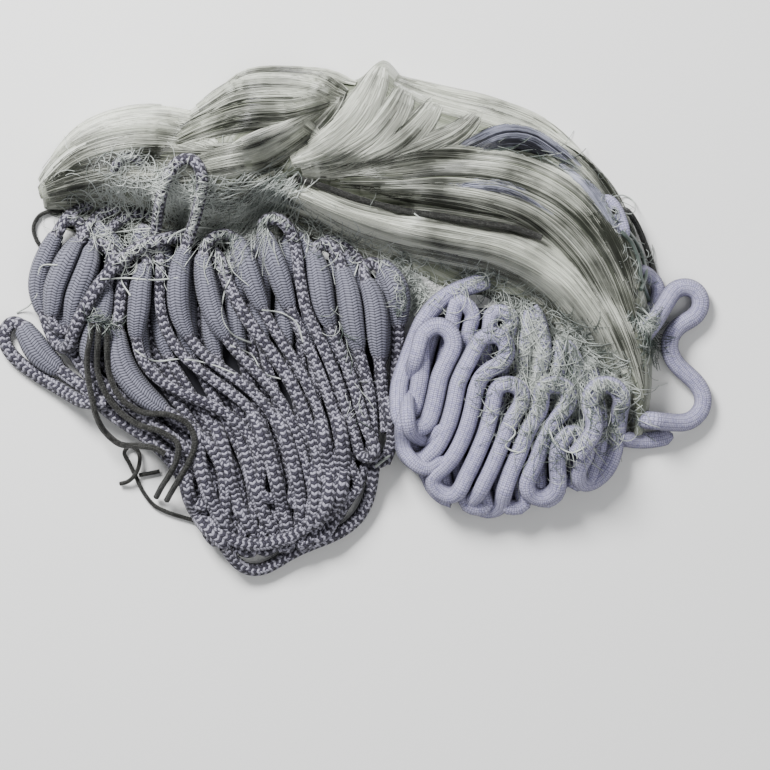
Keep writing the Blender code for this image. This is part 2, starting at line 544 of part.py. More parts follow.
def make_tie(tie, surface):
    """Round cord along its hand-laid route, with both of its ends closed."""
    curve = bpy.data.curves.new(tie.name, "CURVE")
    curve.dimensions = "3D"
    curve.bevel_depth = 0.5 * tie.diameter * MM
    curve.bevel_resolution = 2
    curve.use_fill_caps = True
    line = curve_through(tie.route, TIE_STEP * tie.diameter)
    spline = curve.splines.new("POLY")
    spline.points.add(len(line) - 1)
    for point, place in zip(spline.points, line):
        point.co = (*in_metres(place), 1.0)
    curve.materials.append(surface)
    piece = bpy.data.objects.new(tie.name, curve)
    bpy.context.scene.collection.objects.link(piece)
    return piece


def finish_object(name, mesh_data, surface):
    """Turn the built geometry into one named object with its faces pointing out."""
    bmesh.ops.recalc_face_normals(mesh_data, faces=mesh_data.faces)
    if mesh_data.calc_volume(signed=True) < 0.0:
        bmesh.ops.reverse_faces(mesh_data, faces=mesh_data.faces)
    mesh = bpy.data.meshes.new(name)
    mesh_data.to_mesh(mesh)
    mesh_data.free()
    mesh.shade_smooth()
    mesh.materials.append(surface)
    piece = bpy.data.objects.new(name, mesh)
    bpy.context.scene.collection.objects.link(piece)
    return piece


def make_rope(name, line, radius, sides, surface):
    """Closed tube of the rope's own thickness along its settled centreline."""
    across, above = ring_frames(line)
    chosen = rope_stations(line, LONGEST_STATION, SHARPEST_STATION)
    mesh_data = bmesh.new()
    rings = []
    for centre, thick, side, up in zip(line[chosen], radius[chosen], across[chosen], above[chosen]):
        ring = []
        for corner in range(sides):
            angle = 2.0 * math.pi * corner / sides
            place = centre + thick * (math.cos(angle) * side + math.sin(angle) * up)
            ring.append(mesh_data.verts.new(in_metres(place)))
        rings.append(ring)
    for ring, following in zip(rings[:-1], rings[1:]):
        for corner in range(sides):
            beside = (corner + 1) % sides
            mesh_data.faces.new((ring[corner], ring[beside], following[beside], following[corner]))
    mesh_data.faces.new(rings[0])
    mesh_data.faces.new(rings[-1][::-1])
    return finish_object(name, mesh_data, surface)


def make_mound(name, surface_points, surface):
    """Closed solid between a grid of top points and the flat floor under it."""
    mesh_data = bmesh.new()
    rows, columns = surface_points.shape[:2]
    grid = [[None] * columns for _ in range(rows)]
    for row in range(rows):
        for column in range(columns):
            x, y, z = surface_points[row, column]
            at_rim = row in (0, rows - 1) or column in (0, columns - 1)
            grid[row][column] = mesh_data.verts.new(in_metres((x, y, 0.0 if at_rim else z)))
    for row in range(rows - 1):
        for column in range(columns - 1):
            mesh_data.faces.new((grid[row][column], grid[row][column + 1],
                                 grid[row + 1][column + 1], grid[row + 1][column]))
    rim = grid[0][:-1] + [line[-1] for line in grid[:-1]] + grid[-1][:0:-1]
    rim += [line[0] for line in grid[:0:-1]]
    mesh_data.faces.new(rim)
    return finish_object(name, mesh_data, surface)


def main():
    """Build every piece of the net."""
    clear_scene()
    webbing = webbing_surface()
    lead_hank = hank_surface(LEAD_HANK, LEAD_HANK_HEIGHT, LEAD_HANK_RIDGES)
    float_hank = hank_surface(FLOAT_HANK, FLOAT_HANK_HEIGHT, FLOAT_HANK_RIDGES)
    mounds = (webbing, lead_hank, float_hank)
    lead_ground = ground_map(mounds, LEAD_DIAMETER / 2 + MAP_MARGIN)
    float_ground = ground_map(mounds, FLOAT_ROPE_DIAMETER / 2 + MAP_MARGIN)
    grounds = (lead_ground, lead_ground, float_ground, float_ground)
    routes = (
        ("lead_line", LEAD_LINE, LEAD_ROPE_DIAMETER, LEAD_ROPE_SIDES),
        ("lead_line_right", LEAD_LINE_RIGHT, LEAD_ROPE_DIAMETER, LEAD_ROPE_SIDES),
        ("float_line", FLOAT_LINE, FLOAT_ROPE_DIAMETER, FLOAT_ROPE_SIDES),
        ("float_line_end", FLOAT_LINE_END, FLOAT_ROPE_DIAMETER, FLOAT_ROPE_SIDES),
    )
    settled = settle([lay_route(route, thick) for _, route, thick, _ in routes], grounds)
    make_mound("webbing", webbing, material("webbing", (0.55, 0.56, 0.48), 0.4))
    make_mound("lead_line_hank", lead_hank, material("lead_line_hank", (0.16, 0.16, 0.2), 0.8))
    make_mound("float_line_hank", float_hank, material("float_line_hank", (0.5, 0.48, 0.62), 0.8))
    for (name, _, _, sides), (line, radius) in zip(routes, settled):
        colour = (0.25, 0.26, 0.32) if name.startswith("lead") else (0.6, 0.58, 0.74)
        make_rope(name, line, radius, sides, material(name, colour, 0.8))
    for tie in TIES:
        make_tie(tie, material(tie.name, (0.035, 0.034, 0.03), 0.85))


main()
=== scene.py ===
"""Looks of a gill net laid away in a hank: webbing, lead line, float line, ties and loose yarns.

The tables are in millimetres on the plan of the solids, or in places of the picture where they
say so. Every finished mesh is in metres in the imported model's frame.
"""

from __future__ import annotations

import logging
import math
from dataclasses import dataclass, field
from enum import Enum
from typing import NamedTuple, Sequence

import bmesh
import bpy
import numpy as np
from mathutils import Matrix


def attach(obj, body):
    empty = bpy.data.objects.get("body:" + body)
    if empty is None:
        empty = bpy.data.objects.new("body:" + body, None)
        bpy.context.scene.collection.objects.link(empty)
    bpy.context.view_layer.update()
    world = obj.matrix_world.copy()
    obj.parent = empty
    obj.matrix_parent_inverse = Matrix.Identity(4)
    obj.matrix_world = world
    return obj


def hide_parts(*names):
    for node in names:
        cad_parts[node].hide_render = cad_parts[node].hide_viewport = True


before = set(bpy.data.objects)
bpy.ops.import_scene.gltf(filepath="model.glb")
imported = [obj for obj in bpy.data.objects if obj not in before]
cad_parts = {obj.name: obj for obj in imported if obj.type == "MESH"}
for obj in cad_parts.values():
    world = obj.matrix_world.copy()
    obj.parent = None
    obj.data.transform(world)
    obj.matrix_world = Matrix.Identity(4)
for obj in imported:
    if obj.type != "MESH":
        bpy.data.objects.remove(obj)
log = logging.getLogger("net")

MM = 0.001
LEAD_ROPE_DIAMETER = 6.0
LEAD_DIAMETER = 12.0
FLOAT_ROPE_DIAMETER = 8.5
TIE_DIAMETER = 3.2
FINE_TIE_DIAMETER = 2.2
CLEARANCE = 0.8
LEAD_HANK_HEIGHT = 2.0 * LEAD_ROPE_DIAMETER + 0.6
FLOAT_HANK_HEIGHT = 2.0 * FLOAT_ROPE_DIAMETER + 0.6
LEAD_HANK_RIDGES = 13
FLOAT_HANK_RIDGES = 10
RIDGE_DEPTH = 2.4
PLAN_CENTRE = (0.6, 1.9)
WEBBING_SECTIONS = 68
WEBBING_COLUMNS = 20
SKIRT_WIDTH = 6.0
SKIRT_HEIGHT = 4.0
POINTS_PER_RIDGE = 3
HANK_ROWS = 11
POINT_SPACING = 3.0
CONTACT_GAP = 1.1
BEND_SPAN = 3
TIGHTEST_BEND = 1.7
GUIDE_PULL = 0.12
SETTLE_STEPS = 260
CLEAR_STEPS = 240
MAP_CELL = 2.0
MAP_MARGIN = 0.5
MAP_HALF_SIZE = (200.0, 150.0)

# The picture's place of the plan's zero, and millimetres to one of its pixels
PICTURE_ZERO = (353.0, 321.0)
PICTURE_SCALE = 0.5
PICTURE_SIZE = 770.0

# Places worked out between two points of a smooth curve
CURVE_PARTS = 24

# Settling: millimetres that ropes sink in a step, and how strongly they straighten meanwhile
SINK_STEP = 0.25
STRAIGHTEN_SINKING = 0.25
STRAIGHTEN_AFTER = 0.10

# How strongly tight bends open, and by how much a push apart is stretched
BEND_PUSH = 0.4
PUSH_GAIN = 1.2

# Steps between two looks for contacts, which take in gaps up to this many millimetres; points
# of one rope within this many reaches along it aren't a contact
PAIR_STEPS = 8
PAIR_MARGIN = 6.0
SAME_ROPE_REACH = 1.5

# Averaging rounds, at 1 mm steps, that draw a lead's ends in to a spindle, and how much fuller
# than that average it stays
TAPER_ROUNDS = 75
TAPER_FULLNESS = 1.12

# Step along a strand of webbing, which keeps all pieces together under a million triangles
STRAND_STEP = 5.2


class Section(NamedTuple):
    """One cross-section of the webbing, from its outer edge to its inner edge."""

    outer: tuple[float, float]
    inner: tuple[float, float]
    crest: float
    skirt: float = SKIRT_WIDTH


class Fold(NamedTuple):
    """A trough (negative height) or a lock (positive height) that runs over the webbing."""

    route: tuple
    width: float
    height: float


class Lane(NamedTuple):
    """One guiding turn of a wound rope, from its head down to its foot."""

    head: tuple[float, float]
    neck: tuple[float, float]
    waist: tuple[float, float]
    sheaf: tuple[float, float]
    foot: tuple[float, float]


class Stretch(NamedTuple):
    """A stretch of a top rope: the places it passes, if a lead fills it, and ropes under it."""

    route: tuple
    leaded: bool = False
    ropes_under: float = 0.0


class Tie(NamedTuple):
    """A tie cord with both ends free: its thickness and the places it passes, (x, y, z)."""

    name: str
    diameter: float
    route: tuple


class Tone(Enum):
    """How light a lock of webbing is; the milky tone also lays painted highlights on a few locks, and
    the deep tone lays painted shade in creases and hollows.
    """

    # The webbing's pale rim, and painted highlight on the twist's bright patches
    MILKY = 0.78
    PALE = 0.62
    MIDDLE = 0.45
    OLIVE = 0.28
    # Painted shade: locks of this tone lie in creases and hollows.
    DEEP = 0.1


class Lock(NamedTuple):
    """A lock of gathered webbing: its route and width in the picture, its lift and its tone."""

    route: tuple
    width: float
    lift: float
    tone: Tone


class Yarn(NamedTuple):
    """A stray yarn: its route in the picture, its thickness in millimetres and its tone."""

    route: tuple
    thickness: float
    tone: float = 0.75


class Run(NamedTuple):
    """A run of rope that shows above the turns: its route in the picture, width and ends' sink."""

    route: tuple
    width: float
    sink: float
    float_rope: bool = False


class Tuft(NamedTuple):
    """A patch of loose meshes: its route in the picture, spread, count, reach, curl and tone."""

    route: tuple
    spread: float
    count: int
    reach: float
    curl: float
    tone: float = 0.55


WEBBING = (
    Section((-158.5, 68.5), (-156.5, 57.5), 12.0),
    Section((-154.5, 78.0), (-145.5, 58.5), 20.0),
    Section((-145.5, 90.5), (-131.5, 62.5), 26.0),
    Section((-126.5, 102.0), (-114.0, 59.0), 30.0),
    Section((-104.0, 106.5), (-94.0, 55.0), 32.0),
    Section((-79.0, 108.0), (-74.0, 53.0), 33.0),
    Section((-69.5, 113.0), (-62.5, 54.0), 37.0),
    Section((-56.5, 126.0), (-51.5, 58.5), 42.0),
    Section((-36.5, 128.0), (-34.0, 55.5), 43.0),
    Section((-16.5, 127.5), (-19.0, 50.5), 41.0),
    Section((1.0, 122.5), (-4.0, 43.5), 36.0),
    Section((15.5, 132.5), (13.5, 38.5), 36.0),
    Section((28.5, 119.5), (31.0, 33.0), 35.0, 8.0),
    Section((48.5, 111.5), (51.0, 28.0), 34.0, 13.0),
    Section((73.5, 106.0), (72.5, 23.0), 34.0, 10.0),
    Section((98.5, 94.5), (88.5, 17.0), 33.0, 8.0),
    Section((116.0, 84.5), (101.0, 9.5), 33.0),
    Section((127.5, 66.5), (109.5, 1.0), 32.0),
    Section((139.5, 48.0), (118.5, -7.5), 31.0),
    Section((146.5, 25.5), (125.5, -14.5), 30.0),
    Section((149.5, 0.5), (132.5, -24.5), 27.0),
    Section((151.0, -22.0), (137.0, -37.0), 23.0),
    Section((149.5, -44.5), (140.0, -49.5), 17.0),
    Section((146.0, -58.5), (141.0, -59.5), 9.0),
)

WEBBING_FOLDS = (
    Fold(((-4.0, 118.0), (-14.0, 105.5), (-24.0, 88.0), (-45.5, 78.0)), 5.0, -15.0),
    Fold(((-84.0, 101.0), (-92.5, 89.5), (-101.5, 78.0)), 6.0, -9.0),
    Fold(((-45.5, 78.0), (-31.5, 71.5), (-11.5, 66.5), (23.5, 56.5)), 6.5, -15.0),
    Fold(((23.5, 56.5), (58.5, 48.5), (93.5, 42.5), (118.5, 20.5), (143.5, -2.0)), 5.0, -12.0),
    Fold(((-11.5, 76.0), (23.5, 74.5), (51.0, 80.5), (78.0, 86.0), (108.5, 76.5)), 4.5, -9.0),
    Fold(((-26.5, 60.0), (3.5, 49.0), (38.5, 41.0), (73.5, 33.0), (103.5, 18.0)), 9.0, 5.0),
    Fold(((103.5, 18.0), (128.5, -5.0), (142.0, -32.0)), 8.0, 4.0),
    Fold(((-20.0, 96.0), (23.5, 66.0), (58.5, 64.0), (93.5, 60.0), (121.0, 38.0)), 8.0, 4.0),
    Fold(((-66.0, 84.0), (-46.5, 105.5), (-20.0, 117.0)), 10.0, 4.0),
    Fold(((-140.0, 74.0), (-110.0, 92.0), (-75.0, 98.0)), 9.0, 3.0),
)

LEAD_HANK = (
    Lane((-150.5, 48.0), (-151.0, -7.0), (-119.0, -47.0), (-82.0, -82.0), (-73.5, -107.0)),
    Lane((-116.5, 48.0), (-120.5, -9.5), (-86.5, -45.5), (-62.5, -74.5), (-61.5, -115.0)),
    Lane((-81.5, 43.5), (-77.5, -12.0), (-49.0, -43.5), (-34.0, -74.5), (-49.0, -116.0)),
    Lane((-45.5, 47.0), (-25.5, -7.0), (-12.5, -39.5), (-9.0, -74.5), (-36.5, -114.0)),
    Lane((-11.5, 37.0), (-0.5, -4.5), (3.5, -39.5), (2.5, -74.5), (-24.0, -112.0)),
    Lane((22.0, 26.0), (20.0, -7.0), (17.5, -39.5), (12.0, -67.0), (-12.5, -107.5)),
)

FLOAT_HANK = (
    Lane((38.5, 6.5), (31.0, -18.0), (26.5, -42.0), (27.0, -62.0), (37.5, -82.0)),
    Lane((57.5, 10.5), (50.5, -18.0), (48.0, -45.0), (48.5, -70.0), (54.5, -91.5)),
    Lane((79.5, 9.5), (75.0, -18.0), (73.0, -45.0), (72.0, -70.0), (73.5, -92.5)),
    Lane((98.5, -1.0), (97.0, -26.0), (96.0, -48.0), (95.0, -70.0), (93.5, -90.5)),
    Lane((114.0, -16.5), (117.5, -33.0), (117.0, -50.0), (115.0, -66.0), (111.0, -81.0)),
    Lane((121.5, -24.0), (126.5, -38.0), (129.0, -51.0), (128.5, -64.0), (123.5, -76.0)),
)

LEAD_LINE = (
    Stretch(((-124.5, -41.5), (-154, -25), (-180.5, -12), (-174.5, 4))),
    Stretch(((-170.5, 2), (-162.5, -8.5), (-154.5, -17.5), (-146.5, -25.5)), leaded=True),
    Stretch(((-134.5, -35), (-114, -51.5), (-89, -67.5), (-77.5, -95.5))),
    Stretch(((-70, -97.5), (-76.5, -69.5), (-99, -52), (-120.5, -38.5))),
    Stretch(((-141.5, -22.5), (-136.5, -8.5), (-130.5, 6.5), (-124.5, 21.5)), leaded=True),
    Stretch(((-119, 31.5), (-117.5, 40.5), (-121, 45))),
    Stretch(((-124.5, 39.5), (-130.5, 28.5), (-139, 10.5), (-144.5, -8.5)), leaded=True),
    Stretch(((-146, -14), (-149.5, -10.5))),
    Stretch(((-150, -2.5), (-147.5, 12.5), (-143, 30.5), (-136.5, 46.5)), leaded=True),
    Stretch(((-133, 54), (-137.5, 58), (-143, 55))),
    Stretch(((-147.5, 48.5), (-151.5, 35.5), (-153, 18), (-151.5, 1.5)), leaded=True),
    Stretch(((-153.5, -8.5), (-151.5, -17.5), (-146.5, -21.5))),
    Stretch(((-142.5, -12.5), (-137, 0.5), (-130, 14.5), (-121.5, 27.5)), ropes_under=1.5),
    Stretch(((-110.5, 36.5), (-95.5, 44.5), (-79.5, 45), (-69.5, 37.5)), ropes_under=1.5),
    Stretch(((-63.5, 18), (-55, 1.5), (-39, -15.5), (-25, -35.5))),
    Stretch(((-16.5, -59.5), (-14.5, -84.5), (-17.5, -102))),
    Stretch(((-34, -111), (-54, -117), (-69.5, -111))),
    Stretch(((-65.5, -97), (-62, -79.5), (-67.5, -62), (-81.5, -51.5))),
    Stretch(((-95.5, -46), (-108.5, -36.5), (-117.5, -21.5), (-120, -2.5)), leaded=True),
    Stretch(((-120, 10.5), (-117.5, 24.5), (-109.5, 37.5), (-101.5, 40.5))),
    Stretch(((-101, 32.5), (-108, 19.5), (-112.5, 4.5), (-114, -10.5)), leaded=True),
    Stretch(((-105.5, -27.5), (-84, -37.5), (-57.5, -47), (-43.5, -65.5))),
    Stretch(((-38, -92), (-31.5, -93.5), (-34.5, -68.5), (-45.5, -45.5))),
    Stretch(((-65.5, -31.5), (-84.5, -19.5), (-95.5, -3.5), (-98, 15.5))),
    Stretch(((-97, 31.5), (-97, 49.5), (-95, 65.5), (-89.5, 80.5)), ropes_under=1.0),
    Stretch(((-80.5, 87), (-73, 80.5), (-72, 66.5), (-77.5, 52.5)), ropes_under=1.0),
    Stretch(((-85.5, 37.5), (-91, 23.5), (-91, 7.5), (-85.5, -10.5)), leaded=True),
    Stretch(((-71.5, -22.5), (-51.5, -32.5), (-36.5, -49.5), (-28.5, -70.5))),
    Stretch(((-26, -97), (-19.5, -95.5), (-22, -70.5), (-31.5, -43.5), (-48.5, -24.5))),
    Stretch(((-65, -11.5), (-71.5, 4.5), (-74.5, 20.5), (-76.5, 36.5)), leaded=True),
    Stretch(((-73, 45.5), (-65.5, 50.5))),
    Stretch(((-58, 46.5), (-55.5, 34.5), (-51, 19.5), (-46, 4.5)), leaded=True),
    Stretch(((-35.5, -12.5), (-23, -31.5), (-13, -50.5), (-8.5, -70.5))),
    Stretch(((-9.5, -93.5), (-3, -89.5), (-2.5, -67), (-7.5, -42), (-17.5, -18.5))),
    Stretch(((-28.5, 7.5), (-36, 22.5), (-43, 37.5), (-48.5, 51.5)), leaded=True),
    Stretch(((-45.5, 57), (-36.5, 54.5), (-28, 46.5), (-24, 33))),
    Stretch(((-20.5, 13), (-15.5, -7), (-8.5, -28.5), (-1, -50.5))),
    Stretch(((0.5, -67), (2, -77.5), (6.5, -73.5), (4, -54.5))),
    Stretch(((-0.5, -32), (-5, -13.5))),
    Stretch(((-8, -2.5), (-11.5, 11.5), (-16, 26.5), (-20.5, 39.5)), leaded=True),
    Stretch(((-17.5, 45.5), (-10.5, 39.5))),
    Stretch(((-7.5, 28.5), (-4, 14.5), (-2, -0.5), (-0.5, -16.5)), leaded=True),
    Stretch(((4.5, -35.5), (7.5, -57.5), (9.5, -78), (10.5, -91), (7, -100.5))),
    Stretch(((-1, -106.5), (-12, -110.5), (-25, -111), (-35.5, -114.5))),
    Stretch(((-40, -122.5), (-45.5, -130.5), (-52, -133), (-57, -128))),
    Stretch(((-61, -120.5), (-64.5, -113))),
)

LEAD_LINE_RIGHT = (
    Stretch(((13.5, -71.5), (19, -65.5), (19, -54.5), (19.5, -39.5))),
    Stretch(((22, -20.5), (24.5, -8.5))),
    Stretch(((24.5, -2.5), (19.5, 9), (13.5, 21.5), (7.5, 32.5)), leaded=True),
    Stretch(((5, 37), (3, 33))),
    Stretch(((2.5, 25.5), (4.5, 12.5), (8.5, -2.5), (12.5, -18.5)), leaded=True),
    Stretch(((14.5, -32), (15.5, -45.5), (16.5, -57.5))),
)

FLOAT_LINE = (
    Stretch(((60.5, 18.5), (52.5, 18.5), (43, 15.5), (37.5, 8)), ropes_under=1.5),
    Stretch(((33.5, -5.5), (29, -22.5), (27, -40.5), (27, -53.5)), ropes_under=1.0),
    Stretch(((31.5, -60.5), (39, -57.5), (44, -47), (47.5, -32)), ropes_under=1.0),
    Stretch(((50, -17), (49, -4.5), (44, 3.5), (38.5, 1.5)), ropes_under=0.5),
    Stretch(((33.5, -12), (28, -34.5), (25, -54.5), (25, -67))),
    Stretch(((29.5, -74.5), (37.5, -77), (45.5, -71), (50, -57)), ropes_under=0.5),
    Stretch(((52.5, -42), (54.5, -28.5), (60, -18.5), (67.5, -11.5)), ropes_under=1.0),
    Stretch(((74.5, -5.5), (81, -8.5), (78, -16.5), (69.5, -24.5))),
    Stretch(((62, -34.5), (57, -47), (52.5, -60.5), (45.5, -72.5))),
    Stretch(((39, -81.5), (40.5, -89), (48, -90.5), (54.5, -83))),
    Stretch(((59, -72.5), (62, -62.5), (65.5, -52), (68.5, -40.5))),
    Stretch(((71, -29.5), (78, -25), (84.5, -30.5), (82.5, -42))),
    Stretch(((77.5, -56), (70.5, -75), (64, -83.5), (57.5, -87.5)), ropes_under=0.5),
    Stretch(((52, -91.5), (56, -96.5), (63.5, -97.5), (71.5, -91.5))),
    Stretch(((76.5, -80.5), (81, -68.5), (86, -55.5), (90, -42))),
    Stretch(((91, -30.5), (97.5, -25.5), (103.5, -31.5), (101, -46))),
    Stretch(((96, -62), (89, -76.5), (84.5, -86.5), (90.5, -93))),
    Stretch(((98, -90), (103, -81.5), (105, -70.5), (103.5, -59.5)), ropes_under=0.5),
    Stretch(((105.5, -51.5), (111.5, -51.5), (112.5, -62.5), (109.5, -74.5))),
    Stretch(((107.5, -82), (115.5, -84.5), (125, -80.5), (132, -71.5))),
    Stretch(((135, -62.5), (134, -52), (131.5, -40.5), (128.5, -30.5))),
    Stretch(((125, -24.5), (121.5, -27.5), (123.5, -38.5), (121.5, -49.5))),
    Stretch(((116.5, -58.5), (109, -66)), ropes_under=1.0),
)

FLOAT_LINE_END = (
    Stretch(((151, 0.5), (159.5, 12.5), (166.5, 20), (174.5, 20.5)), ropes_under=0.3),
    Stretch(((178.5, 14), (174.5, 5.5), (167, -0.5), (158.5, -4))),
    Stretch(((153, -10), (155.5, -17.5), (163.5, -23.5), (172, -28))),
    Stretch(((179.5, -34), (182, -41.5), (178.5, -50), (169.5, -54))),
    Stretch(((160, -53), (151.8, -50))),
)

TIES = (
    Tie("tie_left_outer", TIE_DIAMETER, (
        (-130.0, -1.0, 25.4), (-131.0, -9.0, 25.4), (-132.5, -17.0, 24.2), (-132.5, -27.0, 21.6),
        (-130.5, -38.0, 21.8), (-128.5, -47.0, 20.4), (-124.5, -55.5, 14.6), (-117.5, -61.5, 12.9),
        (-107.0, -62.5, 17.0), (-99.5, -63.5, 19.0), (-94.0, -66.5, 19.0))),
    Tie("tie_left_middle", TIE_DIAMETER, (
        (-126.2, -1.5, 26.6), (-127.3, -13.5, 25.0), (-127.5, -25.5, 20.8), (-123.5, -36.5, 19.8),
        (-116.5, -45.5, 18.6), (-107.0, -52.0, 19.6), (-95.5, -55.5, 21.4), (-87.5, -61.5, 21.6),
        (-88.5, -70.5, 20.6), (-92.0, -77.0, 18.8), (-96.5, -83.5, 11.0), (-99.5, -88.5, 3.6))),
    Tie("tie_left_inner", TIE_DIAMETER, (
        (-122.4, -3.0, 26.0), (-122.6, -15.5, 23.6), (-121.5, -27.5, 20.4), (-116.0, -38.5, 20.8),
        (-105.5, -45.5, 20.6), (-91.5, -47.0, 22.8), (-82.5, -51.5, 22.0), (-79.0, -59.5, 21.6),
        (-81.5, -69.5, 21.6), (-86.0, -77.5, 20.2), (-90.5, -84.5, 15.0), (-94.0, -90.0, 6.5))),
    Tie("tie_fine", FINE_TIE_DIAMETER, (
        (-75.3, -102.0, 1.6), (-84.0, -99.5, 1.6), (-93.5, -96.5, 1.6), (-100.5, -93.0, 1.6),
        (-106.0, -86.5, 1.6), (-110.0, -78.5, 1.6), (-113.6, -71.0, 1.6), (-115.8, -66.0, 2.0),
        (-112.8, -62.8, 2.8), (-108.8, -65.5, 3.6), (-108.0, -71.5, 4.4), (-110.6, -77.8, 4.8),
        (-114.0, -80.8, 3.4), (-118.0, -82.0, 1.8))),
    Tie("tie_fine_end", FINE_TIE_DIAMETER, (
        (-98.0, -75.6, 1.6), (-101.5, -76.3, 1.6), (-105.0, -77.0, 1.6), (-108.4, -77.6, 1.6))),
    Tie("tie_webbing", TIE_DIAMETER, (
        (-27.0, 70.5, 30.0), (-14.0, 66.5, 28.0), (3.5, 60.5, 25.4), (23.5, 55.5, 23.5),
        (43.5, 52.0, 28.2), (63.5, 48.5, 29.0), (83.5, 45.0, 28.4), (94.0, 41.2, 29.8))),
    Tie("tie_right", TIE_DIAMETER, (
        (130.5, 54.5, 23.4), (137.0, 55.5, 14.6), (143.0, 49.0, 6.0), (147.5, 39.0, 2.6),
        (151.5, 27.0, 2.2), (153.5, 17.0, 2.2), (154.0, 11.5, 2.2))),
    Tie("tie_loop", FINE_TIE_DIAMETER, (
        (-146.6, 55.5, 1.8), (-153.0, 56.0, 1.8), (-159.0, 53.4, 1.8), (-161.8, 47.6, 1.8),
        (-160.4, 41.6, 1.8), (-156.9, 36.6, 1.8))),
)

LOCKS = (
    Lock(((36, 191), (70, 180), (110, 172), (150, 170), (195, 182)), 34.0, 1.5, Tone.MIDDLE),
    Lock(((38, 182), (78, 152), (125, 138), (170, 137), (218, 152)), 36.0, 2.0, Tone.PALE),
    Lock(((50, 160), (85, 130), (125, 117), (165, 115), (208, 124)), 26.0, 1.0, Tone.MILKY),
    Lock(((95, 186), (140, 160), (185, 160), (225, 162), (268, 152)), 34.0, 1.5, Tone.OLIVE),
    Lock(((150, 178), (205, 168), (255, 157), (297, 136), (330, 106)), 30.0, 3.0, Tone.PALE),
    Lock(((165, 145), (205, 128), (250, 118), (295, 114), (336, 98)), 32.0, 4.0, Tone.MIDDLE),
    Lock(((190, 116), (230, 94), (270, 88), (305, 90), (340, 99)), 30.0, 3.5, Tone.PALE),
    Lock(((215, 97), (245, 77), (285, 74), (320, 79), (346, 93)), 22.0, 2.0, Tone.MIDDLE),
    Lock(((250, 76), (290, 71), (330, 72), (356, 82)), 12.0, 1.0, Tone.MILKY),
    Lock(((381, 66), (371, 92), (354, 122), (328, 146), (292, 162)), 34.0, 2.5, Tone.MILKY),
    Lock(((408, 84), (398, 110), (376, 140), (345, 160), (302, 172)), 34.0, 2.0, Tone.PALE),
    Lock(((440, 94), (425, 120), (402, 145), (370, 162), (325, 174)), 30.0, 2.0, Tone.PALE),
    Lock(((482, 108), (460, 132), (430, 148), (395, 162), (345, 176)), 26.0, 2.0, Tone.PALE),
    Lock(((395, 80), (440, 96), (490, 109), (540, 128), (582, 158)), 32.0, 0.5, Tone.MILKY),
    Lock(((545, 138), (575, 160), (602, 190), (622, 226), (638, 268)), 26.0, 0.5, Tone.OLIVE),
    Lock(((310, 172), (370, 168), (430, 158), (480, 160), (530, 170), (575, 196), (610, 238),
          (634, 290)), 26.0, 2.5, Tone.MIDDLE),
    Lock(((330, 180), (390, 180), (450, 176), (510, 184), (560, 208), (600, 252), (626, 305),
          (642, 352)), 26.0, 3.0, Tone.OLIVE),
    Lock(((360, 190), (420, 192), (480, 199), (530, 216), (575, 255), (608, 308), (630, 360),
          (642, 398)), 24.0, 2.5, Tone.MIDDLE),
    Lock(((300, 183), (350, 206), (400, 217), (460, 226), (520, 240), (565, 270), (602, 318),
          (628, 372)), 26.0, 2.5, Tone.PALE),
    Lock(((285, 190), (340, 214), (390, 231), (440, 242), (500, 254), (550, 280), (590, 325),
          (618, 384)), 26.0, 2.5, Tone.PALE),
    Lock(((300, 202), (350, 230), (400, 246), (450, 256), (505, 272), (548, 300), (580, 345),
          (604, 392)), 22.0, 1.5, Tone.MIDDLE),
    Lock(((276, 172), (258, 186), (240, 198), (222, 212)), 26.0, 1.0, Tone.OLIVE),
    # Painted shade: a deep-toned lock in the hollow under the twist.
    Lock(((300, 178), (290, 190), (282, 204)), 22.0, 0.5, Tone.DEEP),
    Lock(((120, 172), (150, 184), (185, 190), (215, 200)), 24.0, 0.5, Tone.OLIVE),
    Lock(((372, 244), (410, 258), (452, 268), (500, 286), (545, 312), (585, 356)), 26.0, 0.5,
         Tone.OLIVE),
    Lock(((44, 206), (80, 206), (120, 210), (160, 220), (196, 236)), 24.0, 0.5, Tone.MIDDLE),
    Lock(((60, 222), (100, 224), (140, 232), (178, 246)), 20.0, 0.3, Tone.OLIVE),
    Lock(((190, 214), (216, 216), (246, 218), (276, 228)), 24.0, 0.5, Tone.OLIVE),
    Lock(((212, 196), (236, 206), (262, 214), (292, 226), (330, 242)), 24.0, 0.5, Tone.MIDDLE),
    Lock(((262, 200), (300, 216), (340, 234), (384, 252), (424, 266)), 22.0, 0.5, Tone.MIDDLE),
    # Painted shade along the twist's crease.
    Lock(((345, 93), (335, 115), (315, 138), (296, 158)), 10.0, 0.5, Tone.DEEP),
    # Painted highlights: these three thin milky locks lie over the twist's bright satin patches.
    Lock(((262, 118), (285, 122), (305, 128), (322, 140)), 16.0, 1.5, Tone.MILKY),
    Lock(((215, 100), (250, 92), (290, 96), (325, 106)), 12.0, 2.5, Tone.MILKY),
    Lock(((235, 150), (262, 140), (290, 128), (318, 112)), 14.0, 3.0, Tone.MILKY),
    # Painted shade along the crease that the tie cord lies in.
    Lock(((330, 178), (400, 196), (470, 208), (540, 226), (590, 268)), 9.0, 0.5, Tone.DEEP),
    Lock(((572, 190), (596, 222), (616, 258), (632, 300)), 26.0, 2.5, Tone.DEEP),
    Lock(((590, 262), (612, 300), (630, 345), (642, 385)), 14.0, 1.5, Tone.OLIVE),
    # Painted shade in the hollow where the float line shows through.
    Lock(((450, 168), (490, 158), (530, 160), (566, 178)), 14.0, 1.0, Tone.DEEP),
)

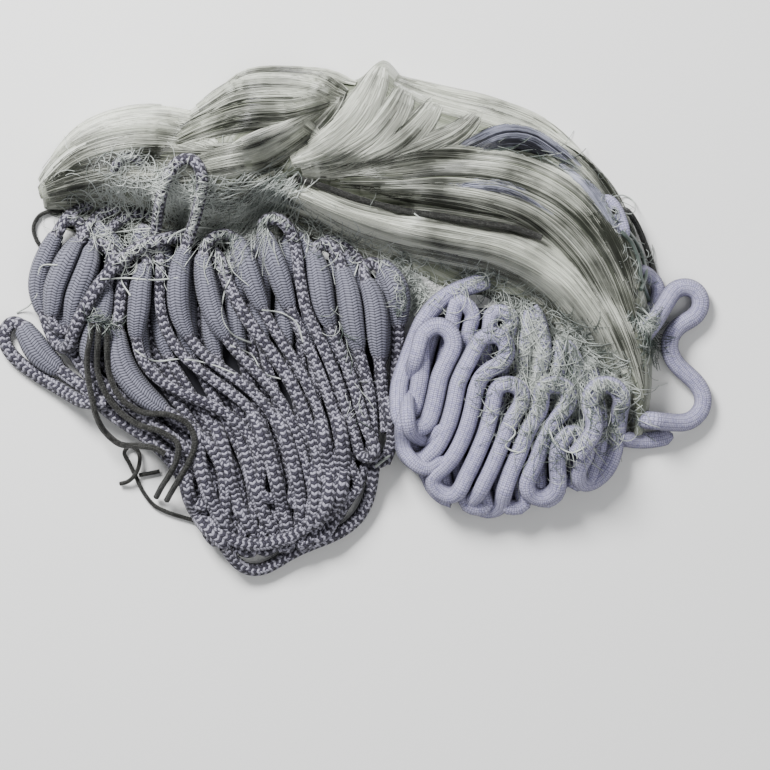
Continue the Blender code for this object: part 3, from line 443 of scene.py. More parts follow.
SEEN_LOCKS = (
    # Painted shade: the first two locks, olive and deep, darken the hollow where the float line shows
    # through the webbing.
    Lock(((448, 158), (476, 144), (506, 132), (532, 134), (556, 149), (580, 168)), 18.0, 1.5,
         Tone.OLIVE),
    Lock(((470, 156), (498, 145), (522, 144), (546, 154)), 13.0, 2.0, Tone.DEEP),
    Lock(((442, 191), (474, 184), (504, 186), (530, 197), (552, 216)), 26.0, 2.7, Tone.MIDDLE),
    Lock(((574, 178), (594, 198), (608, 222), (616, 250)), 22.0, 1.5, Tone.PALE),
    Lock(((560, 164), (586, 190), (604, 216), (618, 250)), 12.0, 1.5, Tone.MIDDLE),
)

TUFTS = (
    Tuft(((210, 185), (235, 205), (222, 235), (215, 262)), 16.0, 80, 17.0, 0.8),
    Tuft(((250, 180), (280, 200), (310, 225), (335, 248)), 20.0, 130, 15.0, 1.2),
    Tuft(((95, 195), (115, 172), (150, 190), (200, 215)), 28.0, 420, 19.0, 0.9, 0.95),
    Tuft(((115, 170), (140, 175), (170, 190), (195, 205)), 24.0, 200, 17.0, 1.0, 0.95),
    Tuft(((60, 215), (95, 222), (130, 240), (150, 262)), 18.0, 190, 15.0, 1.3, 0.85),
    Tuft(((520, 300), (530, 350), (540, 420)), 30.0, 230, 34.0, 0.3, 0.6),
    Tuft(((560, 315), (575, 360), (580, 400)), 26.0, 180, 28.0, 0.3, 0.5),
    Tuft(((330, 215), (365, 240), (395, 262), (420, 290)), 20.0, 110, 14.0, 1.4, 0.65),
    Tuft(((634, 310), (642, 320), (650, 332), (652, 346)), 9.0, 260, 11.0, 0.7, 0.4),
    Tuft(((86, 320), (98, 321), (112, 325)), 5.0, 70, 7.0, 0.8, 0.4),
    Tuft(((398, 262), (412, 278), (418, 296), (405, 305)), 16.0, 230, 10.0, 3.6),
    Tuft(((395, 255), (430, 262), (465, 272), (500, 285)), 14.0, 80, 14.0, 1.4, 0.6),
    Tuft(((455, 272), (490, 285), (520, 300), (548, 330)), 22.0, 150, 20.0, 1.2),
    Tuft(((500, 310), (520, 350), (535, 395), (530, 430)), 28.0, 160, 22.0, 1.2),
    Tuft(((470, 330), (485, 360), (480, 395), (500, 420)), 18.0, 60, 12.0, 3.0),
    Tuft(((545, 320), (575, 350), (600, 375), (618, 405)), 28.0, 160, 25.0, 0.8),
    Tuft(((560, 330), (590, 362), (610, 390), (620, 410)), 18.0, 210, 17.0, 0.5),
    Tuft(((596, 376), (614, 398), (622, 416), (612, 436)), 14.0, 110, 13.0, 1.6),
    Tuft(((560, 400), (580, 420), (560, 450), (540, 470)), 18.0, 70, 13.0, 2.0),
    Tuft(((600, 190), (615, 215), (625, 245), (640, 280)), 14.0, 90, 13.0, 1.4),
    Tuft(((640, 300), (646, 330), (648, 370), (644, 405)), 5.0, 40, 8.0, 2.0),
    Tuft(((330, 300), (345, 330), (350, 370), (360, 420)), 10.0, 30, 15.0, 0.6),
    Tuft(((470, 156), (510, 148), (556, 164)), 12.0, 40, 22.0, 0.2, 0.3),
    Tuft(((292, 172), (268, 188), (240, 206)), 22.0, 200, 32.0, 0.15, 0.75),
    Tuft(((300, 180), (284, 200), (266, 222)), 18.0, 110, 24.0, 0.2, 0.6),
)

RUNS = (
    Run(((184, 466), (189, 498), (200, 521), (214, 536), (228, 548)), 7.5, 5.0),
    Run(((197, 428), (199, 458), (206, 487), (219, 517), (234, 538)), 7.2, 6.0),
    Run(((209, 412), (223, 449), (231, 486), (243, 518), (259, 540)), 7.2, 6.0),
    Run(((229, 412), (243, 447), (252, 481), (264, 516), (277, 538)), 7.2, 6.0),
    Run(((249, 408), (267, 449), (277, 486), (284, 518), (289, 537)), 7.2, 6.0),
    Run(((276, 412), (291, 455), (298, 490), (301, 518), (300, 536)), 7.2, 6.0),
    Run(((300, 415), (310, 458), (315, 494), (312, 518), (304, 533)), 7.2, 6.0),
    Run(((319, 415), (327, 458), (329, 490), (323, 512), (312, 529)), 7.2, 6.0),
    Run(((336, 412), (343, 452), (342, 484), (335, 506), (322, 522)), 7.6, 6.0),
    Run(((206, 518), (226, 537), (247, 545), (272, 543), (298, 536)), 6.6, 3.0),
    Run(((604, 196), (614, 206), (621, 222), (625, 240)), 6.5, 5.0, True),
    Run(((410, 400), (402, 430), (408, 456), (426, 468), (446, 458)), 8.0, 5.0, True),
    Run(((423, 330), (413, 370), (407, 405), (413, 434), (430, 441), (443, 425)), 8.0, 5.0, True),
    Run(((636, 270), (650, 274), (660, 286), (658, 300), (646, 312)), 7.5, 5.0, True),
    Run(((620, 438), (640, 441), (658, 440), (676, 436)), 8.5, 2.0, True),
    Run(((386, 396), (390, 422), (392, 442), (385, 458), (375, 467)), 6.2, 3.0),
    Run(((56, 236), (64, 218), (76, 207), (90, 202)), 5.5, 3.0),
    Run(((78, 244), (88, 224), (101, 210), (118, 206)), 5.5, 3.0),
    Run(((102, 238), (116, 220), (131, 211), (150, 213)), 5.5, 3.0),
    Run(((112, 176), (122, 163), (134, 158), (144, 168)), 5.0, 4.0),
    Run(((318, 238), (334, 240), (350, 250), (364, 266)), 5.5, 4.0),
)

YARNS = (
    Yarn(((58, 265), (40, 266), (36, 280), (36, 292), (28, 303), (12, 312)), 0.8),
    Yarn(((100, 280), (125, 278), (150, 280), (180, 278)), 0.9),
    Yarn(((95, 235), (120, 230), (150, 228), (180, 232)), 0.8),
    Yarn(((165, 245), (175, 233), (190, 228), (215, 230), (222, 245), (231, 275), (224, 292),
          (223, 320), (232, 334), (250, 343)), 0.9),
    Yarn(((262, 310), (282, 313), (296, 322), (303, 342)), 0.8),
    Yarn(((135, 350), (150, 360), (180, 359), (210, 364), (240, 376)), 0.8),
    Yarn(((296, 222), (308, 236), (306, 252)), 0.7),
    Yarn(((334, 232), (352, 243), (370, 250), (384, 250)), 0.8),
    Yarn(((357, 246), (358, 262), (354, 276)), 0.7),
    Yarn(((200, 236), (215, 241), (232, 243)), 0.7),
    Yarn(((414, 214), (428, 224), (452, 230), (476, 232)), 0.7),
    Yarn(((614, 195), (626, 193), (637, 200), (636, 211), (626, 213), (618, 207)), 0.7),
    Yarn(((500, 420), (515, 432), (505, 446), (520, 452), (536, 440)), 0.8),
    Yarn(((548, 428), (556, 445), (570, 452), (584, 446)), 0.8),
    Yarn(((600, 395), (612, 415), (608, 432), (620, 446)), 0.8),
    Yarn(((230, 345), (252, 356), (262, 372), (284, 380)), 0.7),
    Yarn(((118, 250), (126, 262), (121, 279), (131, 296)), 0.8),
    Yarn(((620, 232), (631, 243), (638, 260), (641, 280), (650, 300)), 2.4, 0.0),
    Yarn(((626, 230), (637, 241), (645, 258), (646, 276), (640, 290)), 2.2, 0.0),
    Yarn(((393, 453), (384, 460), (375, 467)), 1.6, 0.3),
    Yarn(((636, 312), (643, 320), (649, 331), (650, 347)), 1.3, 0.3),
    Yarn(((632, 318), (640, 326), (646, 337), (647, 354)), 1.2, 0.1),
    Yarn(((641, 308), (649, 317), (654, 329)), 1.1, 0.4),
)


def in_metres(points: np.ndarray) -> np.ndarray:
    """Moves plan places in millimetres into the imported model's frame, in metres.

    Args:
        points: places as rows of x, y and z.

    Returns:
        The same places, in metres from the origin.
    """
    moved = np.array(points, dtype=float)
    moved[:, 0] -= PLAN_CENTRE[0]
    moved[:, 1] -= PLAN_CENTRE[1]
    return moved * MM


def on_plan(route: Sequence[tuple[float, float]]) -> np.ndarray:
    """Turns places of the picture into plan places in millimetres.

    Args:
        route: places of the picture, right and down.

    Returns:
        Plan places as rows of x and y.
    """
    places = np.asarray(route, dtype=float)
    return np.stack([(places[:, 0] - PICTURE_ZERO[0]) * PICTURE_SCALE,
                     (PICTURE_ZERO[1] - places[:, 1]) * PICTURE_SCALE], axis=1)


def distance_along(points: np.ndarray) -> np.ndarray:
    """Length along a line from its first place to each place."""
    return np.concatenate([[0.0], np.cumsum(np.linalg.norm(np.diff(points, axis=0), axis=1))])


def averaged(values: np.ndarray, rounds: int) -> np.ndarray:
    """Values along a line, smoothed by their neighbours, with both ends kept.

    Args:
        values: one value for each place.
        rounds: how often they are averaged.

    Returns:
        The smoothed values.
    """
    smooth = values.copy()
    for _ in range(rounds):
        smooth[1:-1] = 0.5 * smooth[1:-1] + 0.25 * (smooth[:-2] + smooth[2:])
    return smooth


def curve_through(points: Sequence, spacing: float) -> np.ndarray:
    """Smooth curve through the given points, read off at even steps along its length.

    Args:
        points: rows of values; the distance between rows sets the steps.
        spacing: length of a step.

    Returns:
        Rows along the curve.
    """
    points = np.asarray(points, dtype=float)
    knots = distance_along(points)
    slopes = np.gradient(points, knots, axis=0)
    fine = []
    for index in range(len(points) - 1):
        span = knots[index + 1] - knots[index]
        t = np.linspace(0.0, 1.0, CURVE_PARTS, endpoint=False)[:, None]
        fine.append((2 * t**3 - 3 * t**2 + 1) * points[index]
                    + (t**3 - 2 * t**2 + t) * span * slopes[index]
                    + (3 * t**2 - 2 * t**3) * points[index + 1]
                    + (t**3 - t**2) * span * slopes[index + 1])
    fine = np.vstack(fine + [points[-1:]])
    along = distance_along(fine)
    count = max(3, int(round(along[-1] / spacing)) + 1)
    steps = np.linspace(0.0, along[-1], count)
    return np.stack([np.interp(steps, along, fine[:, axis]) for axis in range(fine.shape[1])], 1)


def distance_to_route(x: np.ndarray, y: np.ndarray, route: Sequence) -> np.ndarray:
    """Shortest distance in plan from each point to a route of straight pieces.

    Args:
        x: places along X.
        y: places along Y.
        route: plan places of the route.

    Returns:
        The distances, shaped as x is.
    """
    best = np.full(np.shape(x), np.inf)
    for (ax, ay), (bx, by) in zip(route[:-1], route[1:]):
        reach_x, reach_y = bx - ax, by - ay
        share = ((x - ax) * reach_x + (y - ay) * reach_y) / (reach_x**2 + reach_y**2)
        share = np.clip(share, 0.0, 1.0)
        best = np.minimum(best, np.hypot(x - ax - share * reach_x, y - ay - share * reach_y))
    return best


def webbing_surface(sections: int, columns: int) -> np.ndarray:
    """Grid of points over the webbing's top, one row for each cross-section.

    Args:
        sections: rows along the webbing.
        columns: columns across it, before its skirt.

    Returns:
        The points, rows by columns by three.
    """
    outer = np.array([section.outer for section in WEBBING])
    inner = np.array([section.inner for section in WEBBING])
    crest = np.array([[section.crest] for section in WEBBING])
    skirt = np.array([[section.skirt] for section in WEBBING])
    rows = curve_through(np.hstack([outer, inner, crest, skirt]), 1.0)
    rows = rows[np.linspace(0, len(rows) - 1, sections).round().astype(int)]
    across = 0.5 - 0.5 * np.cos(np.linspace(0.0, math.pi, columns))
    across = 0.6 * across + 0.4 * np.linspace(0.0, 1.0, columns)
    x = rows[:, 0:1] + (rows[:, 2:3] - rows[:, 0:1]) * across
    y = rows[:, 1:2] + (rows[:, 3:4] - rows[:, 1:2]) * across
    dome = np.sqrt(np.clip(1.0 - np.abs(2.0 * across - 1.0) ** 2.4, 0.0, 1.0))
    relief = np.zeros_like(x)
    for fold in WEBBING_FOLDS:
        relief += fold.height * np.exp(-(distance_to_route(x, y, fold.route) / fold.width) ** 2)
    z = dome * np.maximum(rows[:, 4:5] + relief, 0.4 * rows[:, 4:5])
    top = np.stack([x, y, z], axis=2)
    inward = top[:, -1, :2] - top[:, 0, :2]
    inward /= np.linalg.norm(inward, axis=1)[:, None]
    taper = np.sin(np.linspace(0.0, math.pi, len(top)))[:, None] ** 0.5
    lip = top[:, -1:, :].copy()
    lip[:, 0, 2] = SKIRT_HEIGHT * taper[:, 0]
    shoulder, hem = lip.copy(), lip.copy()
    shoulder[:, 0, :2] += 0.75 * rows[:, 5:6] * taper * inward
    shoulder[:, 0, 2] *= 0.75
    hem[:, 0, :2] += rows[:, 5:6] * taper * inward
    hem[:, 0, 2] = 0.0
    return np.concatenate([top[:, :-1], lip, shoulder, hem], axis=1)


def hank_spread(lanes: Sequence[Lane], columns: int, rows: int) -> np.ndarray:
    """Plan places over a wound rope, rows from its heads to its feet.

    Args:
        lanes: guiding turns.
        columns: places from side to side.
        rows: places from head to foot.

    Returns:
        The places, rows by columns by two.
    """
    down = [curve_through(guide, 1.0) for guide in np.array(lanes)]
    picked = np.array([line[np.linspace(0, len(line) - 1, rows).round().astype(int)]
                       for line in down])
    spread = np.empty((rows, columns, 2))
    for row in range(rows):
        line = curve_through(picked[:, row], 0.5)
        spread[row] = line[np.linspace(0, len(line) - 1, columns).round().astype(int)]
    return spread


def hank_surface(lanes: Sequence[Lane], height: float, ridges: int, columns: int,
                 rows: int) -> np.ndarray:
    """Grid of points over a wound rope's top, ridged where its turns lie side by side.

    Args:
        lanes: guiding turns.
        height: height of the ridges.
        ridges: number of ridges.
        columns: places from side to side.
        rows: places from head to foot.

    Returns:
        The points, rows by columns by three.
    """
    spread = hank_spread(lanes, columns, rows)
    edge_u = np.abs(np.linspace(-1.0, 1.0, columns))
    edge_v = np.abs(np.linspace(-1.0, 1.0, rows))
    fall = np.sqrt(1.0 - edge_u**8)[None, :] * np.sqrt(1.0 - edge_v**8)[:, None]
    groove = 1.0 - np.abs(np.sin(math.pi * np.linspace(0.0, ridges, columns)))
    z = fall * (height - RIDGE_DEPTH * groove[None, :])
    return np.dstack([spread, z])


class HeightMap:
    """Heights over the plan, which ropes, locks and yarns lie on."""

    def __init__(self, cell: float) -> None:
        """Starts a flat map.

        Args:
            cell: size of a cell in millimetres.
        """
        self.cell = cell
        size_x = int(2 * MAP_HALF_SIZE[0] / cell) + 1
        size_y = int(2 * MAP_HALF_SIZE[1] / cell) + 1
        self.heights = np.zeros((size_x, size_y))

    def add_surface(self, surface: np.ndarray, parts: int = 5) -> None:
        """Raises the map to a grid of surface points.

        Args:
            surface: rows by columns by three.
            parts: places read between two columns.
        """
        for step in np.linspace(0.0, 1.0, 9):
            rows = surface[:-1] * (1.0 - step) + surface[1:] * step
            for part in np.linspace(0.0, 1.0, parts):
                grid = rows[:, :-1] * (1.0 - part) + rows[:, 1:] * part
                column = ((grid[..., 0] + MAP_HALF_SIZE[0]) / self.cell).round().astype(int)
                line = ((grid[..., 1] + MAP_HALF_SIZE[1]) / self.cell).round().astype(int)
                np.maximum.at(self.heights, (column, line), grid[..., 2])

    def add_rope(self, line: np.ndarray, radius: np.ndarray) -> None:
        """Raises the map to the top of a rope.

        Args:
            line: the rope's centreline.
            radius: its radius at each place.
        """
        reach = int(math.ceil(radius.max() / self.cell))
        column = (line[:, 0] + MAP_HALF_SIZE[0]) / self.cell
        row = (line[:, 1] + MAP_HALF_SIZE[1]) / self.cell
        for shift_x in range(-reach, reach + 1):
            for shift_y in range(-reach, reach + 1):
                cell_x = column.round().astype(int) + shift_x
                cell_y = row.round().astype(int) + shift_y
                away = self.cell**2 * ((cell_x - column) ** 2 + (cell_y - row) ** 2)
                covered = away < radius**2
                top = line[:, 2] + np.sqrt(np.maximum(radius**2 - away, 0.0))
                np.maximum.at(self.heights, (cell_x[covered], cell_y[covered]), top[covered])

    def widened(self, reach: float) -> "HeightMap":
        """Map of where a ball of the given radius may sink to.

        Args:
            reach: the ball's radius.

        Returns:
            The widened map.
        """
        wide = HeightMap(self.cell)
        wide.heights = self.heights.copy()
        cells = int(math.ceil(reach / self.cell))
        for shift_x in range(-cells, cells + 1):
            for shift_y in range(-cells, cells + 1):
                away = self.cell * math.hypot(shift_x, shift_y)
                if away <= reach:
                    drop = reach - math.sqrt(reach**2 - away**2)
                    moved = np.roll(self.heights, (shift_x, shift_y), axis=(0, 1)) - drop
                    wide.heights = np.maximum(wide.heights, moved)
        return wide

    def softened(self, rounds: int) -> "HeightMap":
        """Map with its steps smoothed away.

        Args:
            rounds: how often each cell takes its neighbours' mean.

        Returns:
            The smoothed map.
        """
        soft = HeightMap(self.cell)
        heights = self.heights.copy()
        for _ in range(rounds):
            heights = (2.0 * heights + np.roll(heights, 1, 0) + np.roll(heights, -1, 0)
                       + np.roll(heights, 1, 1) + np.roll(heights, -1, 1)) / 6.0
        soft.heights = heights
        return soft

    def at(self, places: np.ndarray) -> np.ndarray:
        """Reads the map at each place, between its cells.

        Args:
            places: plan places as rows of x and y, and anything after them.

        Returns:
            The heights.
        """
        column = (places[:, 0] + MAP_HALF_SIZE[0]) / self.cell
        line = (places[:, 1] + MAP_HALF_SIZE[1]) / self.cell
        left, low = np.floor(column).astype(int), np.floor(line).astype(int)
        across, up = column - left, line - low
        heights = self.heights
        near = heights[left, low] * (1 - across) + heights[left + 1, low] * across
        far = heights[left, low + 1] * (1 - across) + heights[left + 1, low + 1] * across
        return near * (1 - up) + far * up


class RopeLine(NamedTuple):
    """A rope's centreline with its radius at each place."""

    line: np.ndarray
    radius: np.ndarray


def with_tails(rope: RopeLine, start: float, end: float, sink: float) -> RopeLine:
    """Carries a rope on past its ends, straight on into what hides them.

    Args:
        rope: the rope's line.
        start: how far it goes on before its first place, in millimetres.
        end: how far it goes on after its last place.
        sink: how far it dives on that way.

    Returns:
        The longer rope.
    """
    line, radius = rope.line, rope.radius
    for reach, near, inner in ((start, 0, 2), (end, -1, -3)):
        if reach <= 0.0:
            continue
        ahead = line[near] - line[inner]
        ahead = ahead / np.linalg.norm(ahead)
        steps = np.linspace(0.0, 1.0, max(3, int(reach / 1.5)) + 1)[1:]
        extra = line[near] + ahead * (reach * steps)[:, None]
        extra[:, 2] = np.maximum(extra[:, 2] - sink * steps**2, radius[near] + 0.2)
        thick = np.full(len(extra), radius[near])
        if near == 0:
            line, radius = np.vstack([extra[::-1], line]), np.concatenate([thick, radius])
        else:
            line, radius = np.vstack([line, extra]), np.concatenate([radius, thick])
    return RopeLine(line, radius)


def lay_route(stretches: Sequence[Stretch], rope_diameter: float) -> RopeLine:
    """Centreline of a rope over its stretches, with its radius and starting lift.

    Args:
        stretches: the rope's stretches in order.
        rope_diameter: the rope's diameter.

    Returns:
        The line, not yet settled.
    """
    plan, marks = [], []
    for stretch in stretches:
        for step, place in enumerate(stretch.route):
            marks.append(step / (len(stretch.route) - 1) if stretch.leaded else -1.0)
            plan.append((place[0], place[1], stretch.ropes_under * rope_diameter))
    places = np.array(plan)
    line = curve_through(places, POINT_SPACING)
    radius = np.full(len(line), rope_diameter / 2)
    for first in range(len(marks)):
        if marks[first] == 0.0:
            last = first + marks[first:].index(1.0)
            start = np.argmin(np.linalg.norm(line - places[first], axis=1))
            end = np.argmin(np.linalg.norm(line - places[last], axis=1))
            low, high = min(start, end), max(start, end)
            bulge = np.sin(math.pi * np.linspace(0.0, 1.0, high - low + 1)) ** 0.55
            radius[low:high + 1] += bulge * (LEAD_DIAMETER - rope_diameter) / 2
    return RopeLine(line, radius)


def contact_pairs(points: np.ndarray, radius: np.ndarray, rope: np.ndarray,
                  along: np.ndarray) -> tuple[np.ndarray, np.ndarray]:
    """Pairs of rope points that may touch, but not those next to each other on one rope.

    Args:
        points: all the ropes' points.
        radius: their radii.
        rope: which rope each is on.
        along: how far along its rope each is.

    Returns:
        The first and the second of each pair.
    """
    apart = np.linalg.norm(points[:, None, :] - points[None, :, :], axis=2)
    reach = radius[:, None] + radius[None, :]
    close = np.abs(along[:, None] - along[None, :]) < SAME_ROPE_REACH * reach
    same = (rope[:, None] == rope[None, :]) & close
    near = (apart < reach + PAIR_MARGIN) & ~same
    return np.nonzero(np.triu(near, 1))


def ground_under(points: np.ndarray, rope: np.ndarray,
                 grounds: Sequence[HeightMap]) -> np.ndarray:
    """Height that each rope's points may sink to.

    Args:
        points: all the ropes' points.
        rope: which rope each is on.
        grounds: each rope's own ground map.

    Returns:
        The heights.
    """
    lowest = np.zeros(len(points))
    for index, ground in enumerate(grounds):
        lowest[rope == index] = ground.at(points[rope == index])
    return lowest


def settle(lines: Sequence[RopeLine], grounds: Sequence[HeightMap]) -> list[RopeLine]:
    """Lets the ropes sink on what lies under them for a set number of steps, pushing apart those that
    reach into one another.

    Args:
        lines: the ropes as they are laid.
        grounds: each rope's own ground map.

    Returns:
        The settled ropes.
    """
    points = np.vstack([rope.line for rope in lines])
    radius = np.concatenate([rope.radius for rope in lines])
    rope = np.concatenate([np.full(len(item.line), index) for index, item in enumerate(lines)])
    along = np.concatenate([np.arange(len(item.line)) * POINT_SPACING for item in lines])
    guide = points[:, :2].copy()
    points[:, 2] += ground_under(points, rope, grounds) + radius + CONTACT_GAP
    inner = np.nonzero((rope[1:-1] == rope[:-2]) & (rope[1:-1] == rope[2:]))[0] + 1
    before = np.nonzero(rope[:-2 * BEND_SPAN] == rope[2 * BEND_SPAN:])[0]
    after = before + 2 * BEND_SPAN
    bend = TIGHTEST_BEND * radius[before + BEND_SPAN]
    chord = 2.0 * bend * np.sin(np.minimum(BEND_SPAN * POINT_SPACING / bend, 0.5 * math.pi))
    for step in range(SETTLE_STEPS + CLEAR_STEPS):
        settling = step < SETTLE_STEPS
        if step % PAIR_STEPS == 0:
            first, second = contact_pairs(points, radius, rope, along)
        if settling:
            points[:, 2] -= SINK_STEP
            points[:, :2] += GUIDE_PULL * (guide - points[:, :2])
        middle = 0.5 * (points[inner - 1] + points[inner + 1])
        straighten = STRAIGHTEN_SINKING if settling else STRAIGHTEN_AFTER
        points[inner] += straighten * (middle - points[inner])
        across = points[after] - points[before]
        span = np.maximum(np.linalg.norm(across, axis=1), 1e-6)
        open_up = across * (BEND_PUSH * np.maximum(chord - span, 0.0) / span)[:, None]
        np.add.at(points, before, -open_up)
        np.add.at(points, after, open_up)
        offset = points[second] - points[first]
        apart = np.maximum(np.linalg.norm(offset, axis=1), 1e-6)
        lack = radius[first] + radius[second] + CONTACT_GAP - apart
        touching = lack > 0.0
        push = offset[touching] * (0.5 * lack[touching] / apart[touching])[:, None]
        moved = np.zeros_like(points)
        count = np.zeros(len(points))
        np.add.at(moved, first[touching], -push)
        np.add.at(moved, second[touching], push)
        np.add.at(count, first[touching], 1.0)
        np.add.at(count, second[touching], 1.0)
        points += moved / np.maximum(count, 1.0)[:, None] * PUSH_GAIN
        floor = ground_under(points, rope, grounds) + radius + CLEARANCE
        points[:, 2] = np.maximum(points[:, 2], floor)
    ends = np.cumsum([len(item.line) for item in lines])[:-1]
    return [RopeLine(line, thick) for line, thick in zip(np.split(points, ends),
                                                         np.split(radius, ends))]


def ring_frames(line: np.ndarray) -> tuple[np.ndarray, np.ndarray]:
    """Side and up directions along a line, carried on from ring to ring without twist.

    Args:
        line: places along a centreline.

    Returns:
        The side and the up direction at each place.
    """
    ahead = np.gradient(line, axis=0)
    ahead /= np.maximum(np.linalg.norm(ahead, axis=1), 1e-9)[:, None]
    side = np.cross(ahead[0], (0.0, 0.0, 1.0))
    sides, ups = [], []
    for direction in ahead:
        side = side - direction * (side @ direction)
        side = side / np.linalg.norm(side)
        sides.append(side)
        ups.append(np.cross(side, direction))
    return np.array(sides), np.array(ups)


class Dye(NamedTuple):
    """A colour as it is named on screen, each part from 0 to 1."""

    red: float
    green: float
    blue: float

    def linear(self) -> tuple[float, float, float, float]:
        """The colour as a shader takes it."""
        parts = [part / 12.92 if part <= 0.04045 else ((part + 0.055) / 1.055) ** 2.4
                 for part in self]
        return (parts[0], parts[1], parts[2], 1.0)


class Socket:
    """A value of a shader that Python's operators work on."""

    def __init__(self, surface: "Surface", socket: bpy.types.NodeSocket) -> None:
        """Wraps an output socket.

        Args:
            surface: the surface that the socket belongs to.
            socket: the output.
        """
        self.surface = surface
        self.socket = socket

    def _maths(self, operation: str, *values: "Socket | float") -> "Socket":
        """One Math node over this value and others.

        Args:
            operation: the node's operation.
            values: its inputs in order.

        Returns:
            The node's result.
        """
        inputs = dict(enumerate(values))
        return self.surface.node("ShaderNodeMath", {"operation": operation}, inputs)

    def __add__(self, other: "Socket | float") -> "Socket":
        """Sum."""
        return self._maths("ADD", self, other)

    def __radd__(self, other: float) -> "Socket":
        """Sum, reflected."""
        return self._maths("ADD", other, self)

    def __sub__(self, other: "Socket | float") -> "Socket":
        """Difference."""
        return self._maths("SUBTRACT", self, other)

    def __rsub__(self, other: float) -> "Socket":
        """Difference, reflected."""
        return self._maths("SUBTRACT", other, self)

    def __mul__(self, other: "Socket | float") -> "Socket":
        """Product."""
        return self._maths("MULTIPLY", self, other)

    def __rmul__(self, other: float) -> "Socket":
        """Product, reflected."""
        return self._maths("MULTIPLY", other, self)

    def __truediv__(self, other: "Socket | float") -> "Socket":
        """Quotient."""
        return self._maths("DIVIDE", self, other)

    def __pow__(self, other: "Socket | float") -> "Socket":
        """Power."""
        return self._maths("POWER", self, other)

    def __abs__(self) -> "Socket":
        """Size without its sign."""
        return self._maths("ABSOLUTE", self)

    def fraction(self) -> "Socket":
        """Part after the point."""
        return self._maths("FRACT", self)

    def floor(self) -> "Socket":
        """Whole part."""
        return self._maths("FLOOR", self)

    def sine(self) -> "Socket":
        """Sine of the value."""
        return self._maths("SINE", self)

    def at_least(self, other: "Socket | float") -> "Socket":
        """The larger of two values."""
        return self._maths("MAXIMUM", self, other)

    def over(self, low: float, high: float) -> "Socket":
        """Smooth step from 0 at the low value to 1 at the high one.

        Args:
            low: where the step starts.
            high: where it ends.

        Returns:
            The step.
        """
        return self.surface.node("ShaderNodeMapRange", {"interpolation_type": "SMOOTHSTEP"},
                                 {"Value": self, "From Min": low, "From Max": high})


class Surface:
    """A material that is built from nodes, with one Principled shader."""

    def __init__(self, name: str, roughness: float, **settings: float) -> None:
        """Starts a material.

        Args:
            name: the material's name.
            roughness: the shader's roughness.
            settings: other values of the shader, by socket name with _ for a space.
        """
        self.material = bpy.data.materials.new(name)
        self.material.use_nodes = True
        self.tree = self.material.node_tree
        self.shader = self.tree.nodes["Principled BSDF"]
        self.shader.inputs["Roughness"].default_value = roughness
        for key, value in settings.items():
            self.shader.inputs[key.replace("_", " ")].default_value = value

    def node(self, kind: str, settings: dict | None = None, inputs: dict | None = None,
             output: str | int = 0) -> Socket:
        """Adds one node.

        Args:
            kind: the node's type.
            settings: its properties, with a ramp's stops under "stops".
            inputs: values or links of its sockets, by name or place.
            output: which output is wanted.

        Returns:
            The output.
        """
        made = self.tree.nodes.new(kind)
        for key, value in (settings or {}).items():
            if key == "stops":
                ramp = made.color_ramp
                while len(ramp.elements) < len(value):
                    ramp.elements.new(0.5)
                for element, (place, colour) in zip(ramp.elements, value):
                    element.position = place
                    element.color = colour
            else:
                setattr(made, key, value)
        for key, value in (inputs or {}).items():
            if isinstance(value, Socket):
                self.tree.links.new(value.socket, made.inputs[key])
            else:
                made.inputs[key].default_value = value
        return Socket(self, made.outputs[output])

    def mixed(self, share: Socket | float, first: Socket | tuple, second: Socket | tuple) -> Socket:
        """Mix of two colours.

        Args:
            share: how much of the second colour.
            first: the first colour.
            second: the second colour.

        Returns:
            The mix.
        """
        return self.node("ShaderNodeMix", {"data_type": "RGBA"},
                         {0: share, 6: first, 7: second}, output=2)

    def noise(self, vector: Socket, scale: float, detail: float = 3.0,
              rough: float = 0.55) -> Socket:
        """Soft random pattern between 0 and 1.

        Args:
            vector: where the pattern is read.
            scale: its scale.
            detail: its octaves.
            rough: how strong the finer octaves are.

        Returns:
            The pattern's value.
        """
        return self.node("ShaderNodeTexNoise", {},
                         {"Vector": vector, "Scale": scale, "Detail": detail, "Roughness": rough})

    def lengths(self) -> tuple[Socket, Socket]:
        """The mesh's own two coordinates: around or across, and along."""
        spread = self.node("ShaderNodeUVMap", {"uv_map": "lengths"})
        return (self.node("ShaderNodeSeparateXYZ", {}, {0: spread}, output=0),
                self.node("ShaderNodeSeparateXYZ", {}, {0: spread}, output=1))

    def place(self, x: Socket | float, y: Socket | float, z: Socket | float) -> Socket:
        """A vector from three values."""
        return self.node("ShaderNodeCombineXYZ", {}, {0: x, 1: y, 2: z})

    def attribute(self, name: str) -> Socket:
        """A named value of the mesh."""
        return self.node("ShaderNodeAttribute", {"attribute_name": name}, {}, output=2)

    def dress(self, colour: Socket, height: Socket | None = None, depth: float = 0.0003,
              strength: float = 1.0) -> bpy.types.Material:
        """Joins the pattern to the shader.

        Args:
            colour: the base colour.
            height: a relief between 0 and 1.
            depth: the relief's depth in metres.
            strength: how much of the relief shows.

        Returns:
            The finished material.
        """
        self.tree.links.new(colour.socket, self.shader.inputs["Base Color"])
        if height is not None:
            bump = self.node("ShaderNodeBump", {},
                             {"Strength": strength, "Distance": depth, "Height": height})
            self.tree.links.new(bump.socket, self.shader.inputs["Normal"])
        return self.material


